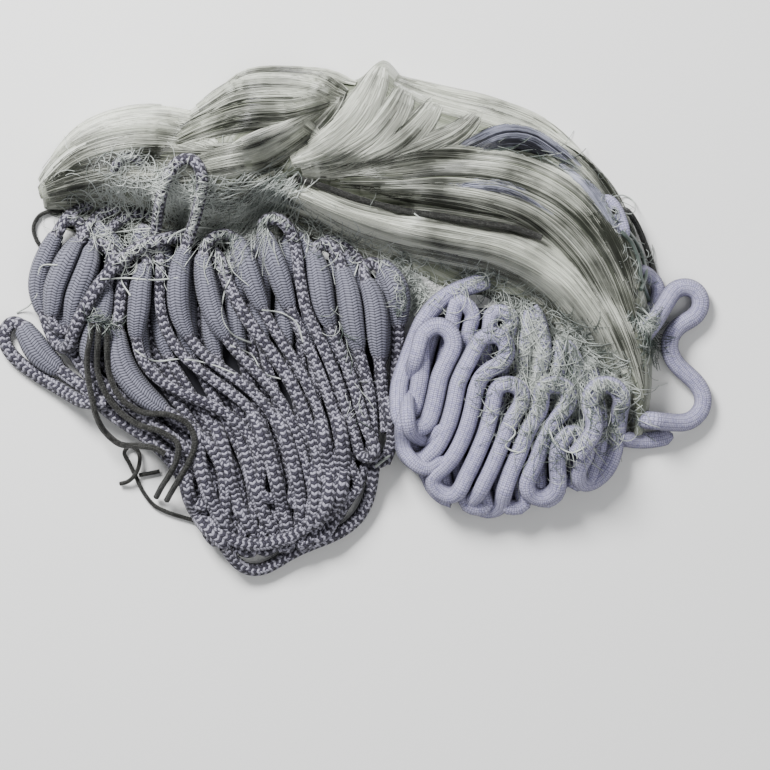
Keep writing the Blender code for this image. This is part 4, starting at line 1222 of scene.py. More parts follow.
@dataclass(frozen=True)
class KnitFinish:
    """A knitted rope cover: columns of slanting stitches in two yarns, plainer over a lead, with painted
    shadow in the stitch grooves and painted shade on its sides.
    """

    name: str
    light: Dye
    dark: Dye
    lead_light: Dye
    columns: int
    dark_share: float
    slant: float
    # How dark the painted shadow in the stitch grooves is
    contrast: float
    depth: float
    roughness: float = 0.72
    regular: float = 0.0
    # How much painted shade darkens the rope's sides and underside
    side_shade: float = 0.5

    def make(self) -> bpy.types.Material:
        """Builds the material; the mesh gives turns around, rows along, the lead share and how far the
        surface faces up.
        """
        cover = Surface(self.name, self.roughness, Specular_IOR_Level=0.28, Sheen_Weight=0.12)
        around, rows = cover.lengths()
        lead = cover.attribute("lead")
        column = around * float(self.columns)
        leg = abs(column.fraction() * 2.0 - 1.0)
        phase = rows + leg * self.slant
        row = phase.fraction()
        stitch = ((row * math.pi).sine()).at_least(0.0) ** 0.55
        filled = lead.over(0.02, 0.4)
        leg_shape = ((1.0 - leg ** 6.0 * (1.0 - filled * 0.55))
                     * (leg.over(0.02, 0.22) * 0.35 + 0.65))
        side = (column * 2.0).floor()
        pick = cover.node("ShaderNodeTexWhiteNoise", {"noise_dimensions": "2D"},
                          {"Vector": cover.place(side, phase.floor(), 0.0)})
        row_turn = (phase.floor() * 0.5).fraction() * 1.2
        checked = row_turn + ((side + phase.floor()) * 0.5).fraction() * 0.8
        pick = pick * (1.0 - self.regular) + checked * self.regular
        wide = cover.noise(cover.place(around * 3.0, rows * 0.12, 0.0), 1.0)
        share = self.dark_share * (1.0 - filled * 1.6)
        light_here = (pick + (wide - 0.5) * 0.25 - share).over(-0.04, 0.04)
        relief = stitch * leg_shape
        cut = relief.over(0.30, 0.85)
        yarn = cover.mixed(light_here, self.dark.linear(),
                           cover.mixed(filled, self.light.linear(), self.lead_light.linear()))
        # Painted shadow: the grooves between stitches darken, more over a lead.
        depth = filled * 0.22 + self.contrast
        shadow = cut * depth + (1.0 - depth)
        # Painted shade: the rope darkens towards its sides and underside, by how far its surface faces
        # up.
        raised = cover.attribute("rise").over(-0.1, 0.85)
        sides = raised * self.side_shade + (1.0 - self.side_shade)
        # Random mottle laid over the painted shadow and the painted shade.
        mottle_and_painted_shade = shadow * sides * (0.86 + wide * 0.28)
        colour = cover.node("ShaderNodeMix", {"data_type": "RGBA", "blend_type": "MULTIPLY"},
                            {0: 1.0, 6: yarn, 7: cover.place(mottle_and_painted_shade, mottle_and_painted_shade, mottle_and_painted_shade)}, output=2)
        return cover.dress(colour, relief, self.depth, 0.9)


@dataclass(frozen=True)
class WebbingFinish:
    """Gathered monofilament: long fine streaks from milky white to olive, with a satin gloss."""

    name: str
    milky: Dye
    # deep: the darkest streaks, and the painted shade of deep-toned locks
    middle: Dye
    deep: Dye
    roughness: float = 0.38

    def make(self) -> bpy.types.Material:
        """Builds the material; the mesh gives millimetres across and along, and the tone."""
        cloth = Surface(self.name, self.roughness, Specular_IOR_Level=0.5, Sheen_Weight=0.15)
        across, along = cloth.lengths()
        tone = cloth.attribute("tone")
        fine = cloth.noise(cloth.place(across * 1.7, along * 0.03, tone * 9.0), 1.0, 5.0, 0.7)
        locks = cloth.noise(cloth.place(across * 0.28, along * 0.02, tone * 5.0), 1.0, 3.0)
        cloud = cloth.noise(cloth.place(across * 0.07, along * 0.04, tone * 3.0), 1.0, 2.0)
        value = fine * 0.75 + locks * 0.75 + cloud * 0.3 - 0.9 + tone
        colour = cloth.node("ShaderNodeValToRGB", {"stops": (
            (0.08, self.deep.linear()), (0.42, self.middle.linear()), (0.78, self.milky.linear()),
        )}, {0: value})
        return cloth.dress(colour, fine * 0.7 + locks * 0.6, 0.0008, 0.55)


@dataclass(frozen=True)
class StrandFinish:
    """Single monofilament yarns, each with its own tone."""

    name: str
    light: Dye
    dark: Dye
    roughness: float = 0.35

    def make(self) -> bpy.types.Material:
        """Builds the material; the mesh gives each strand's tone."""
        yarn = Surface(self.name, self.roughness, Specular_IOR_Level=0.5)
        tone = yarn.attribute("tone")
        # Broad patches lighten and darken neighbouring strands together: random tone, partly painted
        # satin sheen.
        spots = yarn.node("ShaderNodeTexCoord", {}, {}, output="Object")
        cloud = yarn.noise(spots, 34.0)
        share = (tone + (cloud - 0.5) * 1.5).over(0.0, 1.0)
        return yarn.dress(yarn.mixed(share, self.dark.linear(), self.light.linear()))


@dataclass(frozen=True)
class PlainFinish:
    """A matt surface with a faint mottle, for the floor and the shadowed core of the hanks."""

    name: str
    base: Dye
    mottle: float
    scale: float
    roughness: float = 0.9

    def make(self) -> bpy.types.Material:
        """Builds the material from object coordinates."""
        ground = Surface(self.name, self.roughness)
        spots = ground.node("ShaderNodeTexCoord", {}, {}, output="Object")
        cloud = ground.noise(spots, self.scale)
        low = Dye(*(part * (1.0 - self.mottle) for part in self.base))
        return ground.dress(ground.mixed(cloud, low.linear(), self.base.linear()))


def put_in_scene(name: str, data: bpy.types.ID) -> bpy.types.Object:
    """Makes an object of some data and links it to the scene.

    Args:
        name: the object's name.
        data: its mesh, light or camera.

    Returns:
        The object.
    """
    made = bpy.data.objects.new(name, data)
    bpy.context.scene.collection.objects.link(made)
    return made


def link_mesh(name: str, points: np.ndarray, faces: list, material: bpy.types.Material,
              lengths: np.ndarray | None = None, marks: dict[str, np.ndarray] | None = None,
              turn_out: bool = True) -> bpy.types.Object:
    """Makes one smooth mesh object with its faces pointing out.

    Args:
        name: the object's name.
        points: places in metres.
        faces: corner numbers of each face.
        material: its finish.
        lengths: two coordinates for each face corner.
        marks: named values for each point.
        turn_out: whether a closed mesh is turned the right way out.

    Returns:
        The object.
    """
    mesh = bpy.data.meshes.new(name)
    mesh.from_pydata(points.tolist(), [], faces)
    if lengths is not None:
        mesh.uv_layers.new(name="lengths").data.foreach_set("uv", lengths.ravel())
    for key, values in (marks or {}).items():
        mesh.attributes.new(key, "FLOAT", "POINT").data.foreach_set("value", values)
    mesh.shade_smooth()
    mesh.materials.append(material)
    if turn_out:
        edited = bmesh.new()
        edited.from_mesh(mesh)
        if edited.calc_volume(signed=True) < 0.0:
            bmesh.ops.reverse_faces(edited, faces=edited.faces)
            edited.to_mesh(mesh)
        edited.free()
    return put_in_scene(name, mesh)


def ring_faces(rings: int, sides: int) -> tuple[np.ndarray, list[list[int]]]:
    """Faces of a tube whose points are numbered ring by ring.

    Args:
        rings: number of rings.
        sides: corners of a ring.

    Returns:
        Corner numbers of the faces along it, and of its two end caps.
    """
    start = np.arange(rings - 1)[:, None] * sides
    corner = np.arange(sides)[None, :]
    beside = (corner + 1) % sides
    quads = np.stack([start + corner, start + beside, start + sides + beside,
                      start + sides + corner], axis=2).reshape(-1, 4)
    last = (rings - 1) * sides
    return quads, [list(range(sides)), list(range(last, last + sides))[::-1]]


def tube_mesh(name: str, line: np.ndarray, radius: np.ndarray, sides: int, rows: np.ndarray,
              lead: np.ndarray, lobes: int, material: bpy.types.Material,
              wide: float = 1.0, high: float = 1.0) -> bpy.types.Object:
    """Closed tube along a centreline, with slight lobes where its stitch columns stand.

    Args:
        name: the object's name.
        line: centreline in plan millimetres.
        radius: radius at each place.
        sides: corners of a ring.
        rows: stitch rows counted along the rope.
        lead: share of a lead at each place.
        lobes: columns that stand out of the ring.
        material: its finish.
        wide: how much wider than round the rope lies.
        high: how much of its round height it keeps.

    Returns:
        The object.
    """
    across, above = ring_frames(line)
    angles = np.linspace(0.0, 2.0 * math.pi, sides, endpoint=False)
    lobe = 1.0 - 0.05 * (1.0 - np.abs(np.sin(0.5 * lobes * angles)))
    spokes = (wide * np.cos(angles)[None, :, None] * across[:, None, :]
              + high * np.sin(angles)[None, :, None] * above[:, None, :])
    reach = radius[:, None] * lobe[None, :]
    points = (line[:, None, :] + spokes * reach[..., None]).reshape(-1, 3)
    quads, ends = ring_faces(len(line), sides)
    turn = np.tile(np.arange(sides) / sides, len(line) - 1)
    next_turn = turn + 1.0 / sides
    row, next_row = np.repeat(rows[:-1], sides), np.repeat(rows[1:], sides)
    lengths = np.stack([turn, row, next_turn, row, next_turn, next_row, turn, next_row], axis=1)
    caps = np.concatenate([np.stack([angles / 12.0, np.full(sides, end)], 1)
                           for end in (rows[0], rows[-1])])
    lengths = np.concatenate([lengths.reshape(-1, 2), caps])
    # rise: how far each point's surface faces up, which the rope finish reads to paint shade on the
    # rope's sides
    rise = (spokes / np.linalg.norm(spokes, axis=2, keepdims=True))[..., 2].ravel()
    return link_mesh(name, in_metres(points), quads.tolist() + ends, material, lengths,
                     {"lead": np.repeat(lead, sides), "rise": rise})


def grid_mesh(name: str, grid: np.ndarray, material: bpy.types.Material,
              tone: float) -> bpy.types.Object:
    """Closed mound between a grid of top points and the flat floor under it.

    Args:
        name: the object's name.
        grid: rows by columns by three, in plan millimetres.
        material: its finish.
        tone: the webbing's tone.

    Returns:
        The object.
    """
    rows, columns = grid.shape[:2]
    points = grid.copy()
    points[[0, -1], :, 2] = 0.0
    points[:, [0, -1], 2] = 0.0
    number = np.arange(rows * columns).reshape(rows, columns)
    quads = np.stack([number[:-1, :-1], number[:-1, 1:], number[1:, 1:], number[1:, :-1]],
                     axis=2).reshape(-1, 4)
    rim = (number[0, :-1].tolist() + number[:-1, -1].tolist() + number[-1, :0:-1].tolist()
           + number[:0:-1, 0].tolist())
    aside = np.zeros((rows, columns))
    aside[:, 1:] = np.cumsum(np.linalg.norm(np.diff(grid, axis=1), axis=2), axis=1)
    middle = grid[:, columns // 2]
    along = distance_along(middle)[:, None]
    flat = np.stack([aside, np.repeat(along, columns, 1)], axis=2).reshape(-1, 2)
    order = np.concatenate([quads.ravel(), np.array(rim)])
    return link_mesh(name, in_metres(points.reshape(-1, 3)), quads.tolist() + [rim], material,
                     flat[order], {"tone": np.full(rows * columns, tone)})


def dress_piece(piece: bpy.types.Object, slot: str, *nodes: str) -> None:
    """Rides a piece on the body and hides the solids that it stands for.

    Args:
        piece: the finished piece.
        slot: the record's material slot; not used.
        nodes: solids that it replaces.
    """
    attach(piece, "root")
    if nodes:
        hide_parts(*nodes)
    log.info("%s: %d faces", piece.name, len(piece.data.polygons))


@dataclass
class RopeCover:
    """How a rope's mesh is divided and how long its stitches are."""

    finish: KnitFinish
    step: float
    sides: int
    stitch: float
    lead_stitch: float
    slot: str
    wide: float = 1.0
    high: float = 1.0

    def build(self, name: str, rope: RopeLine, rope_radius: float,
              material: bpy.types.Material) -> bpy.types.Object:
        """Makes one rope along its settled line.

        Args:
            name: the object's name.
            rope: its centreline and radius.
            rope_radius: the rope's radius where no lead fills it.
            material: the cover's material.

        Returns:
            The rope.
        """
        fine = curve_through(np.column_stack([rope.line, rope.radius]), self.step)
        room = max(0.0, 0.5 * LEAD_DIAMETER - rope_radius)
        lead = np.zeros(len(fine))
        if room > 0.0:
            lead = np.clip((fine[:, 3] - rope_radius) / room, 0.0, 1.0)
        stitch = self.stitch + (self.lead_stitch - self.stitch) * np.clip(lead * 2.0, 0.0, 1.0)
        gaps = np.linalg.norm(np.diff(fine[:, :3], axis=0), axis=1)
        rows = np.concatenate([[0.0], np.cumsum(gaps / stitch[:-1])])
        slim = averaged(lead, int(TAPER_ROUNDS / self.step**2))
        taken = np.clip(lead - TAPER_FULLNESS * slim, 0.0, 1.0) * room
        return tube_mesh(name, fine[:, :3], fine[:, 3] - taken, self.sides, rows, lead,
                         self.finish.columns, material, self.wide, self.high)


@dataclass
class WoundRope:
    """The lower turns of a rope: bights side by side in layers, on a shadowed core."""

    name: str
    node: str
    lanes: Sequence[Lane]
    turns: int
    heights: tuple[tuple[float, float], ...]
    rope_radius: float
    lead_span: tuple[float, float]
    core_height: float
    cover: RopeCover
    seed: int
    rows: int = 15
    core_grid: tuple[int, int] = (60, 30)
    core_share: float = 0.93
    core_tone: float = 0.2

    def layer(self, level: int) -> RopeLine:
        """One rope laid to and fro over the hank.

        Args:
            level: which layer, from the top one.

        Returns:
            The rope's line.
        """
        rows = self.rows
        picks = self.turns * 2 + 1
        spread = hank_spread(self.lanes, picks, rows)
        random = np.random.default_rng(self.seed + level)
        head_z, sheaf_z = self.heights[level]
        first, last = (1, rows) if level == 0 else (2, rows - 1)
        line: list[np.ndarray] = []
        filled: list[float] = []
        for turn in range(self.turns):
            column = min(picks - 2, 2 * turn + 1 + (level % 2) * (turn % 2))
            low = first + int(random.integers(0, 2)) - (level == 0 and turn % 2)
            low = max(low, 0)
            share = np.linspace(0.0, 1.0, rows)[low:last]
            z = head_z + (sheaf_z - head_z) * np.clip((share - 0.15) / 0.35, 0.0, 1.0)
            z = z + 0.5 * np.sin(share * 5.0 + turn * 2.1)
            run = np.column_stack([spread[low:last, column], z])
            leaded = (level == 0) & (share > self.lead_span[0]) & (share < self.lead_span[1])
            filling = leaded.astype(float)
            if turn % 2:
                run, filling = run[::-1], filling[::-1]
            line.append(run)
            filled.extend(filling.tolist())
        places = np.vstack(line)
        lead_radius = 0.5 * LEAD_DIAMETER
        fine = curve_through(np.column_stack([places, np.array(filled) * lead_radius]), 2.0)
        bulge = np.clip(fine[:, 3] / lead_radius, 0.0, 1.0) ** 0.6
        radius = self.rope_radius + bulge * max(0.0, lead_radius - 0.2 - self.rope_radius)
        fine[:, 2] = np.maximum(fine[:, 2], radius + 0.1)
        return RopeLine(fine[:, :3], radius)

    def build(self, material: bpy.types.Material, core: bpy.types.Material,
              tops: HeightMap) -> None:
        """Makes the layers and the core.

        Args:
            material: the rope's material.
            core: the core's material.
            tops: height map that the ropes are added to.
        """
        surface = hank_surface(self.lanes, self.core_height, self.turns, *self.core_grid)
        middle = surface[..., :2].reshape(-1, 2).mean(axis=0)
        surface[..., :2] = middle + (surface[..., :2] - middle) * self.core_share
        mound = grid_mesh(f"{self.name}_core", surface, core, self.core_tone)
        dress_piece(mound, self.cover.slot, self.node)
        for level in range(len(self.heights)):
            rope = self.layer(level)
            tops.add_rope(rope.line, rope.radius)
            piece = self.cover.build(f"{self.name}_{level + 1}", rope, self.rope_radius, material)
            dress_piece(piece, self.cover.slot, self.node)


@dataclass
class ShownRuns:
    """Runs of rope that lie on top of the turns, pressed flat, with their ends sunk among them."""

    lead_cover: RopeCover
    float_cover: RopeCover
    step: float = 2.0
    smoothing: int = 10
    sinking_share: float = 0.22
    perch: float = 0.3
    bedding: float = 0.7

    def build(self, lead: bpy.types.Material, close: bpy.types.Material, tops: HeightMap) -> None:
        """Makes each run.

        Args:
            lead: the lead line's material.
            close: the float line's material.
            tops: height map of what the runs lie on.
        """
        for index, run in enumerate(RUNS):
            cover = self.float_cover if run.float_rope else self.lead_cover
            rope_radius = 0.5 * (FLOAT_ROPE_DIAMETER if run.float_rope else LEAD_ROPE_DIAMETER)
            plan = curve_through(on_plan(run.route), self.step)
            z = averaged(tops.at(plan), self.smoothing)
            share = np.linspace(0.0, 1.0, len(plan))
            nearer = np.minimum(share, 1.0 - share)
            ends = np.clip(nearer / self.sinking_share, 0.0, 1.0) ** 0.7
            z = z + self.perch * run.width * cover.high - run.sink * (1.0 - ends)
            z = np.maximum(z, 0.5 * run.width * cover.high)
            line = np.column_stack([plan, z])
            gone = share * 2.0 * len(line)
            nearest = np.minimum(gone, gone[::-1]) / (0.5 * run.width)
            radius = 0.5 * run.width * np.clip(nearest, 0.1, 1.0) ** 0.5
            tops.add_rope(line, self.bedding * radius)
            node = "float_line_hank" if run.float_rope else "lead_line_hank"
            piece = cover.build(f"shown_run_{index + 1}", RopeLine(line, radius),
                                max(rope_radius, 0.5 * run.width),
                                close if run.float_rope else lead)
            dress_piece(piece, cover.slot, node)


@dataclass
class StrandSweep:
    """Turns lines into round yarns with a node tree, and the result into a plain mesh."""

    name: str
    thickness: float
    material: bpy.types.Material
    sides: int = 3

    def tree(self) -> bpy.types.GeometryNodeTree:
        """Builds the tree: lines become curves, a small ring follows each, and all is dressed."""
        tree = bpy.data.node_groups.new(f"{self.name}_sweep", "GeometryNodeTree")
        face = tree.interface
        face.new_socket("Geometry", in_out="INPUT", socket_type="NodeSocketGeometry")
        size = face.new_socket("Yarn radius", in_out="INPUT", socket_type="NodeSocketFloat")
        size.default_value = 0.0002
        face.new_socket("Geometry", in_out="OUTPUT", socket_type="NodeSocketGeometry")
        start = tree.nodes.new("NodeGroupInput")
        end = tree.nodes.new("NodeGroupOutput")
        curves = tree.nodes.new("GeometryNodeMeshToCurve")
        ring = tree.nodes.new("GeometryNodeCurvePrimitiveCircle")
        ring.inputs["Resolution"].default_value = self.sides
        swept = tree.nodes.new("GeometryNodeCurveToMesh")
        smooth = tree.nodes.new("GeometryNodeSetShadeSmooth")
        real = tree.nodes.new("GeometryNodeRealizeInstances")
        dressed = tree.nodes.new("GeometryNodeSetMaterial")
        dressed.inputs["Material"].default_value = self.material
        swept.inputs["Fill Caps"].default_value = True
        link = tree.links.new
        link(start.outputs["Geometry"], curves.inputs["Mesh"])
        link(start.outputs["Yarn radius"], ring.inputs["Radius"])
        link(curves.outputs["Curve"], swept.inputs["Curve"])
        link(ring.outputs["Curve"], swept.inputs["Profile Curve"])
        link(swept.outputs["Mesh"], smooth.inputs["Geometry"])
        link(smooth.outputs["Geometry"], real.inputs["Geometry"])
        link(real.outputs["Geometry"], dressed.inputs["Geometry"])
        link(dressed.outputs["Geometry"], end.inputs["Geometry"])
        return tree

    def build(self, lines: Sequence[np.ndarray], tones: Sequence[float]) -> bpy.types.Object:
        """Sweeps the yarns.

        Args:
            lines: plan places of each yarn, in millimetres.
            tones: each yarn's tone.

        Returns:
            The yarns as one mesh object.
        """
        points, edges, shades = [], [], []
        first = 0
        for line, tone in zip(lines, tones):
            count = len(line)
            points.append(line)
            numbers = np.arange(first, first + count)
            edges.append(np.stack([numbers[:-1], numbers[1:]], axis=1))
            shades.append(np.full(count, tone))
            first += count
        mesh = bpy.data.meshes.new(f"{self.name}_lines")
        mesh.from_pydata(in_metres(np.vstack(points)).tolist(), np.vstack(edges).tolist(), [])
        mesh.attributes.new("tone", "FLOAT", "POINT").data.foreach_set("value", np.concatenate(shades))
        carrier = put_in_scene(f"{self.name}_lines", mesh)
        tree = self.tree()
        modifier = carrier.modifiers.new("sweep", "NODES")
        modifier.node_group = tree
        radius_socket = next(item.identifier for item in tree.interface.items_tree
                             if item.name == "Yarn radius")
        modifier[radius_socket] = 0.5 * self.thickness * MM
        graph = bpy.context.evaluated_depsgraph_get()
        result = bpy.data.meshes.new_from_object(carrier.evaluated_get(graph))
        result.name = self.name
        carrier.modifiers.remove(modifier)
        bpy.data.objects.remove(carrier, do_unlink=True)
        if not result.materials:
            result.materials.append(self.material)
        return put_in_scene(self.name, result)


@dataclass
class Webbing:
    """The gathered webbing: its wound body, its locks and the strands that lie on them."""

    sections: int = 200
    columns: int = 64
    strands_per_lock: int = 110
    strand_thickness: float = 0.34
    lock_step: float = 2.5
    lock_sides: int = 22
    body_drop: float = 0.4
    lock_drop: float = 0.6
    lock_floor: float = 0.3
    strand_drop: float = 0.55
    strand_floor: float = 0.5
    seed: int = 11
    ground: HeightMap = field(default_factory=lambda: HeightMap(1.0))

    def body(self, material: bpy.types.Material) -> None:
        """Makes the wound body.

        Args:
            material: the webbing's material.
        """
        surface = webbing_surface(self.sections, self.columns)
        self.ground.add_surface(surface, 3)
        self.ground = self.ground.softened(6)
        surface[..., 2] = np.maximum(surface[..., 2] - self.body_drop, 0.0)
        dress_piece(grid_mesh("webbing_body", surface, material, Tone.MIDDLE.value),
                    "webbing", "webbing")

    def lock_frame(self, lock: Lock, spacing: float) -> tuple[np.ndarray, np.ndarray, np.ndarray]:
        """Centreline of a lock with its side direction and half width.

        Args:
            lock: the lock.
            spacing: step along it.

        Returns:
            Plan places, side directions and half widths.
        """
        line = curve_through(on_plan(lock.route), spacing)
        ahead = np.gradient(line, axis=0)
        ahead /= np.linalg.norm(ahead, axis=1)[:, None]
        side = np.stack([ahead[:, 1], -ahead[:, 0]], axis=1)
        share = np.linspace(0.0, 1.0, len(line))
        half = 0.5 * lock.width * PICTURE_SCALE * (0.4 + 0.6 * np.sin(math.pi * share) ** 0.6)
        return line, side, half

    def lock_mesh(self, index: int, lock: Lock, material: bpy.types.Material) -> bpy.types.Object:
        """One lock: a flat round-edged body that follows the ground under it.

        Args:
            index: the lock's number.
            lock: the lock.
            material: the webbing's material.

        Returns:
            The lock.
        """
        line, side, half = self.lock_frame(lock, self.lock_step)
        sides = self.lock_sides
        angles = np.linspace(0.0, 2.0 * math.pi, sides, endpoint=False)
        share = np.linspace(0.0, 1.0, len(line))
        thick = lock.lift * np.sin(math.pi * np.clip(share, 0.02, 0.98)) ** 0.5 + 0.3
        offset = half[:, None] * np.cos(angles)[None, :]
        plan = line[:, None, :] + side[:, None, :] * offset[..., None]
        base = self.ground.at(plan.reshape(-1, 2)).reshape(offset.shape)
        bulge = thick[:, None] * np.sin(angles)[None, :]
        z = np.maximum(base - self.lock_drop + bulge, self.lock_floor)
        points = np.dstack([plan, z]).reshape(-1, 3)
        quads, caps = ring_faces(len(line), sides)
        along = distance_along(line)[:, None]
        flat = np.stack([offset + 31.0 * index, np.repeat(along, sides, 1)], axis=2)
        order = np.concatenate([quads.ravel(), np.array(sum(caps, []))])
        return link_mesh(f"webbing_lock_{index}", in_metres(points), quads.tolist() + caps,
                         material, flat.reshape(-1, 2)[order],
                         {"tone": np.full(len(points), lock.tone.value)})

    def strands(self, locks: Sequence[Lock],
                random: np.random.Generator) -> tuple[list[np.ndarray], list[float]]:
        """Lines of the single strands over some locks.

        Args:
            locks: the locks.
            random: the seeded source of their spread.

        Returns:
            The lines and their tones.
        """
        lines, tones = [], []
        for lock in locks:
            line, side, half = self.lock_frame(lock, STRAND_STEP)
            count = len(line)
            share = np.linspace(0.0, 1.0, count)
            thick = lock.lift * np.sin(math.pi * np.clip(share, 0.02, 0.98)) ** 0.5 + 0.3
            bands = random.uniform(0.0, 6.0, 3)
            for _ in range(self.strands_per_lock):
                rest = random.uniform(-1.08, 1.08)
                # Tone bands across a lock: random streaks, partly painted satin sheen.
                streak_and_sheen = 0.16 * math.sin(5.0 * rest + bands[0]) + 0.12 * math.sin(12.0 * rest + bands[1])
                sway = random.normal(0.0, 0.07) * np.sin(share * random.uniform(2, 7)
                                                        + random.uniform(0, 6))
                drift = random.normal(0.0, 0.10) * (share - 0.5)
                across = rest + sway + drift
                low = int(random.uniform(0.0, 0.35) * count)
                high = count - int(random.uniform(0.0, 0.35) * count)
                if high - low < 4:
                    continue
                plan = line + side * (across * half)[:, None]
                dome = np.sqrt(np.clip(1.0 - across**2, 0.0, 1.0))
                lift = thick * dome - self.strand_drop + random.uniform(0.05, 0.75)
                z = np.maximum(self.ground.at(plan) + lift, self.strand_floor)
                lines.append(np.column_stack([plan, z])[low:high])
                shade = lock.tone.value + streak_and_sheen + random.normal(-0.03, 0.12)
                tones.append(float(np.clip(shade, 0.0, 1.0)))
        return lines, tones

    def build(self, layers: Sequence[tuple[Sequence[Lock], bpy.types.Material,
                                           bpy.types.Material]]) -> None:
        """Makes the body, the locks and the strands.

        Args:
            layers: locks with the material of their bodies and of their strands; the first
                layer's material also dresses the wound body.
        """
        self.body(layers[0][1])
        random = np.random.default_rng(self.seed)
        pieces = 0
        for locks, material, strand in layers:
            for lock in locks:
                pieces += 1
                dress_piece(self.lock_mesh(pieces, lock, material), "webbing", "webbing")
            half = max(1, len(locks) // 2)
            for part in (locks[:half], locks[half:]):
                pieces += 1
                sweep = StrandSweep(f"webbing_strands_{pieces}", self.strand_thickness, strand)
                dress_piece(sweep.build(*self.strands(part, random)), "webbing", "webbing")


@dataclass
class LooseYarns:
    """Curly loose meshes at the webbing's edge, and the longer stray yarns over the ropes."""

    tops: HeightMap
    thicknesses: tuple[float, ...] = (0.26, 0.34, 0.48)
    step: float = 1.1
    veil_rounds: int = 14
    proud_limit: float = 1.0
    skipped_share: float = 0.7
    seed: int = 5

    def wisps(self, random: np.random.Generator) -> tuple[list[np.ndarray], list[float]]:
        """Lines of the curly wisps.

        Args:
            random: the seeded source of their spread.

        Returns:
            The lines and their tones.
        """
        lines, tones = [], []
        veil = self.tops.softened(self.veil_rounds)
        for tuft in TUFTS:
            spine = curve_through(on_plan(tuft.route), 1.0)
            ahead = np.gradient(spine, axis=0)
            for _ in range(tuft.count):
                pick = int(random.integers(0, len(spine)))
                start = spine[pick] + random.normal(0.0, 0.32 * tuft.spread * PICTURE_SCALE * 2, 2) * 0.6
                proud = float(self.tops.at(start[None])[0] - veil.at(start[None])[0])
                if proud > self.proud_limit and random.random() < self.skipped_share:
                    continue
                heading = (math.atan2(ahead[pick][1], ahead[pick][0])
                           + random.normal(0.0, 0.7 * min(1.0, 0.25 + tuft.curl)))
                steps = max(7, int(tuft.reach * random.uniform(0.5, 1.4) / self.step))
                turn = random.normal(0.0, 0.17 * tuft.curl)
                wobble = random.normal(0.0, 0.22 * tuft.curl, steps).cumsum() * 0.5
                bearing = heading + turn * np.arange(steps) + wobble
                paces = np.stack([np.cos(bearing), np.sin(bearing)], 1) * self.step
                plan = start + np.cumsum(paces, axis=0)
                hop = random.uniform(0.2, 2.2) * np.sin(math.pi * np.linspace(0, 1, steps))
                z = np.maximum(self.tops.at(plan), veil.at(plan)) + 0.3 + hop
                lines.append(np.column_stack([plan, z]))
                tones.append(float(np.clip(tuft.tone + random.uniform(-0.45, 0.45), 0.0, 1.0)))
        return lines, tones

    def build(self, material: bpy.types.Material) -> None:
        """Makes the wisps and the stray yarns.

        Args:
            material: their material.
        """
        lines, tones = self.wisps(np.random.default_rng(self.seed))
        groups = len(self.thicknesses)
        for group, thickness in enumerate(self.thicknesses):
            sweep = StrandSweep(f"webbing_wisps_{group + 1}", thickness, material)
            dress_piece(sweep.build(lines[group::groups], tones[group::groups]), "webbing", "webbing")
        for index, yarn in enumerate(YARNS):
            plan = curve_through(on_plan(yarn.route), 1.2)
            z = self.tops.at(plan)
            for _ in range(12):
                z[1:-1] = np.maximum(z[1:-1], 0.5 * (z[:-2] + z[2:]))
            line = np.column_stack([plan, z + 0.5 * yarn.thickness])
            sweep = StrandSweep(f"stray_yarn_{index + 1}", yarn.thickness, material, 7)
            dress_piece(sweep.build([line], [yarn.tone]), "webbing", "webbing")


@dataclass
class TieCords:
    """The charcoal ties, which lie free on the ropes."""

    cover: RopeCover
    short_end: str = "tie_fine_end"
    short_end_of: str = "tie_fine"
    shortest_free: float = 0.03

    def build(self, material: bpy.types.Material, tops: HeightMap) -> None:
        """Makes each tie and rides it on the body in place of its solid.

        Args:
            material: the ties' material.
            tops: height map that the ties are added to.
        """
        pieces: dict[str, bpy.types.Object] = {}
        for tie in TIES:
            line = curve_through(tie.route, self.cover.step)
            radius = np.full(len(line), 0.5 * tie.diameter)
            tops.add_rope(line, radius)
            rows = distance_along(line) / self.cover.stitch
            pieces[tie.name] = tube_mesh(f"{tie.name}_cord", line, radius, self.cover.sides, rows,
                                         np.zeros(len(line)), self.cover.finish.columns, material)
            in_metres(line)
        for tie in TIES:
            dress_piece(pieces[tie.name], self.cover.slot, tie.name)


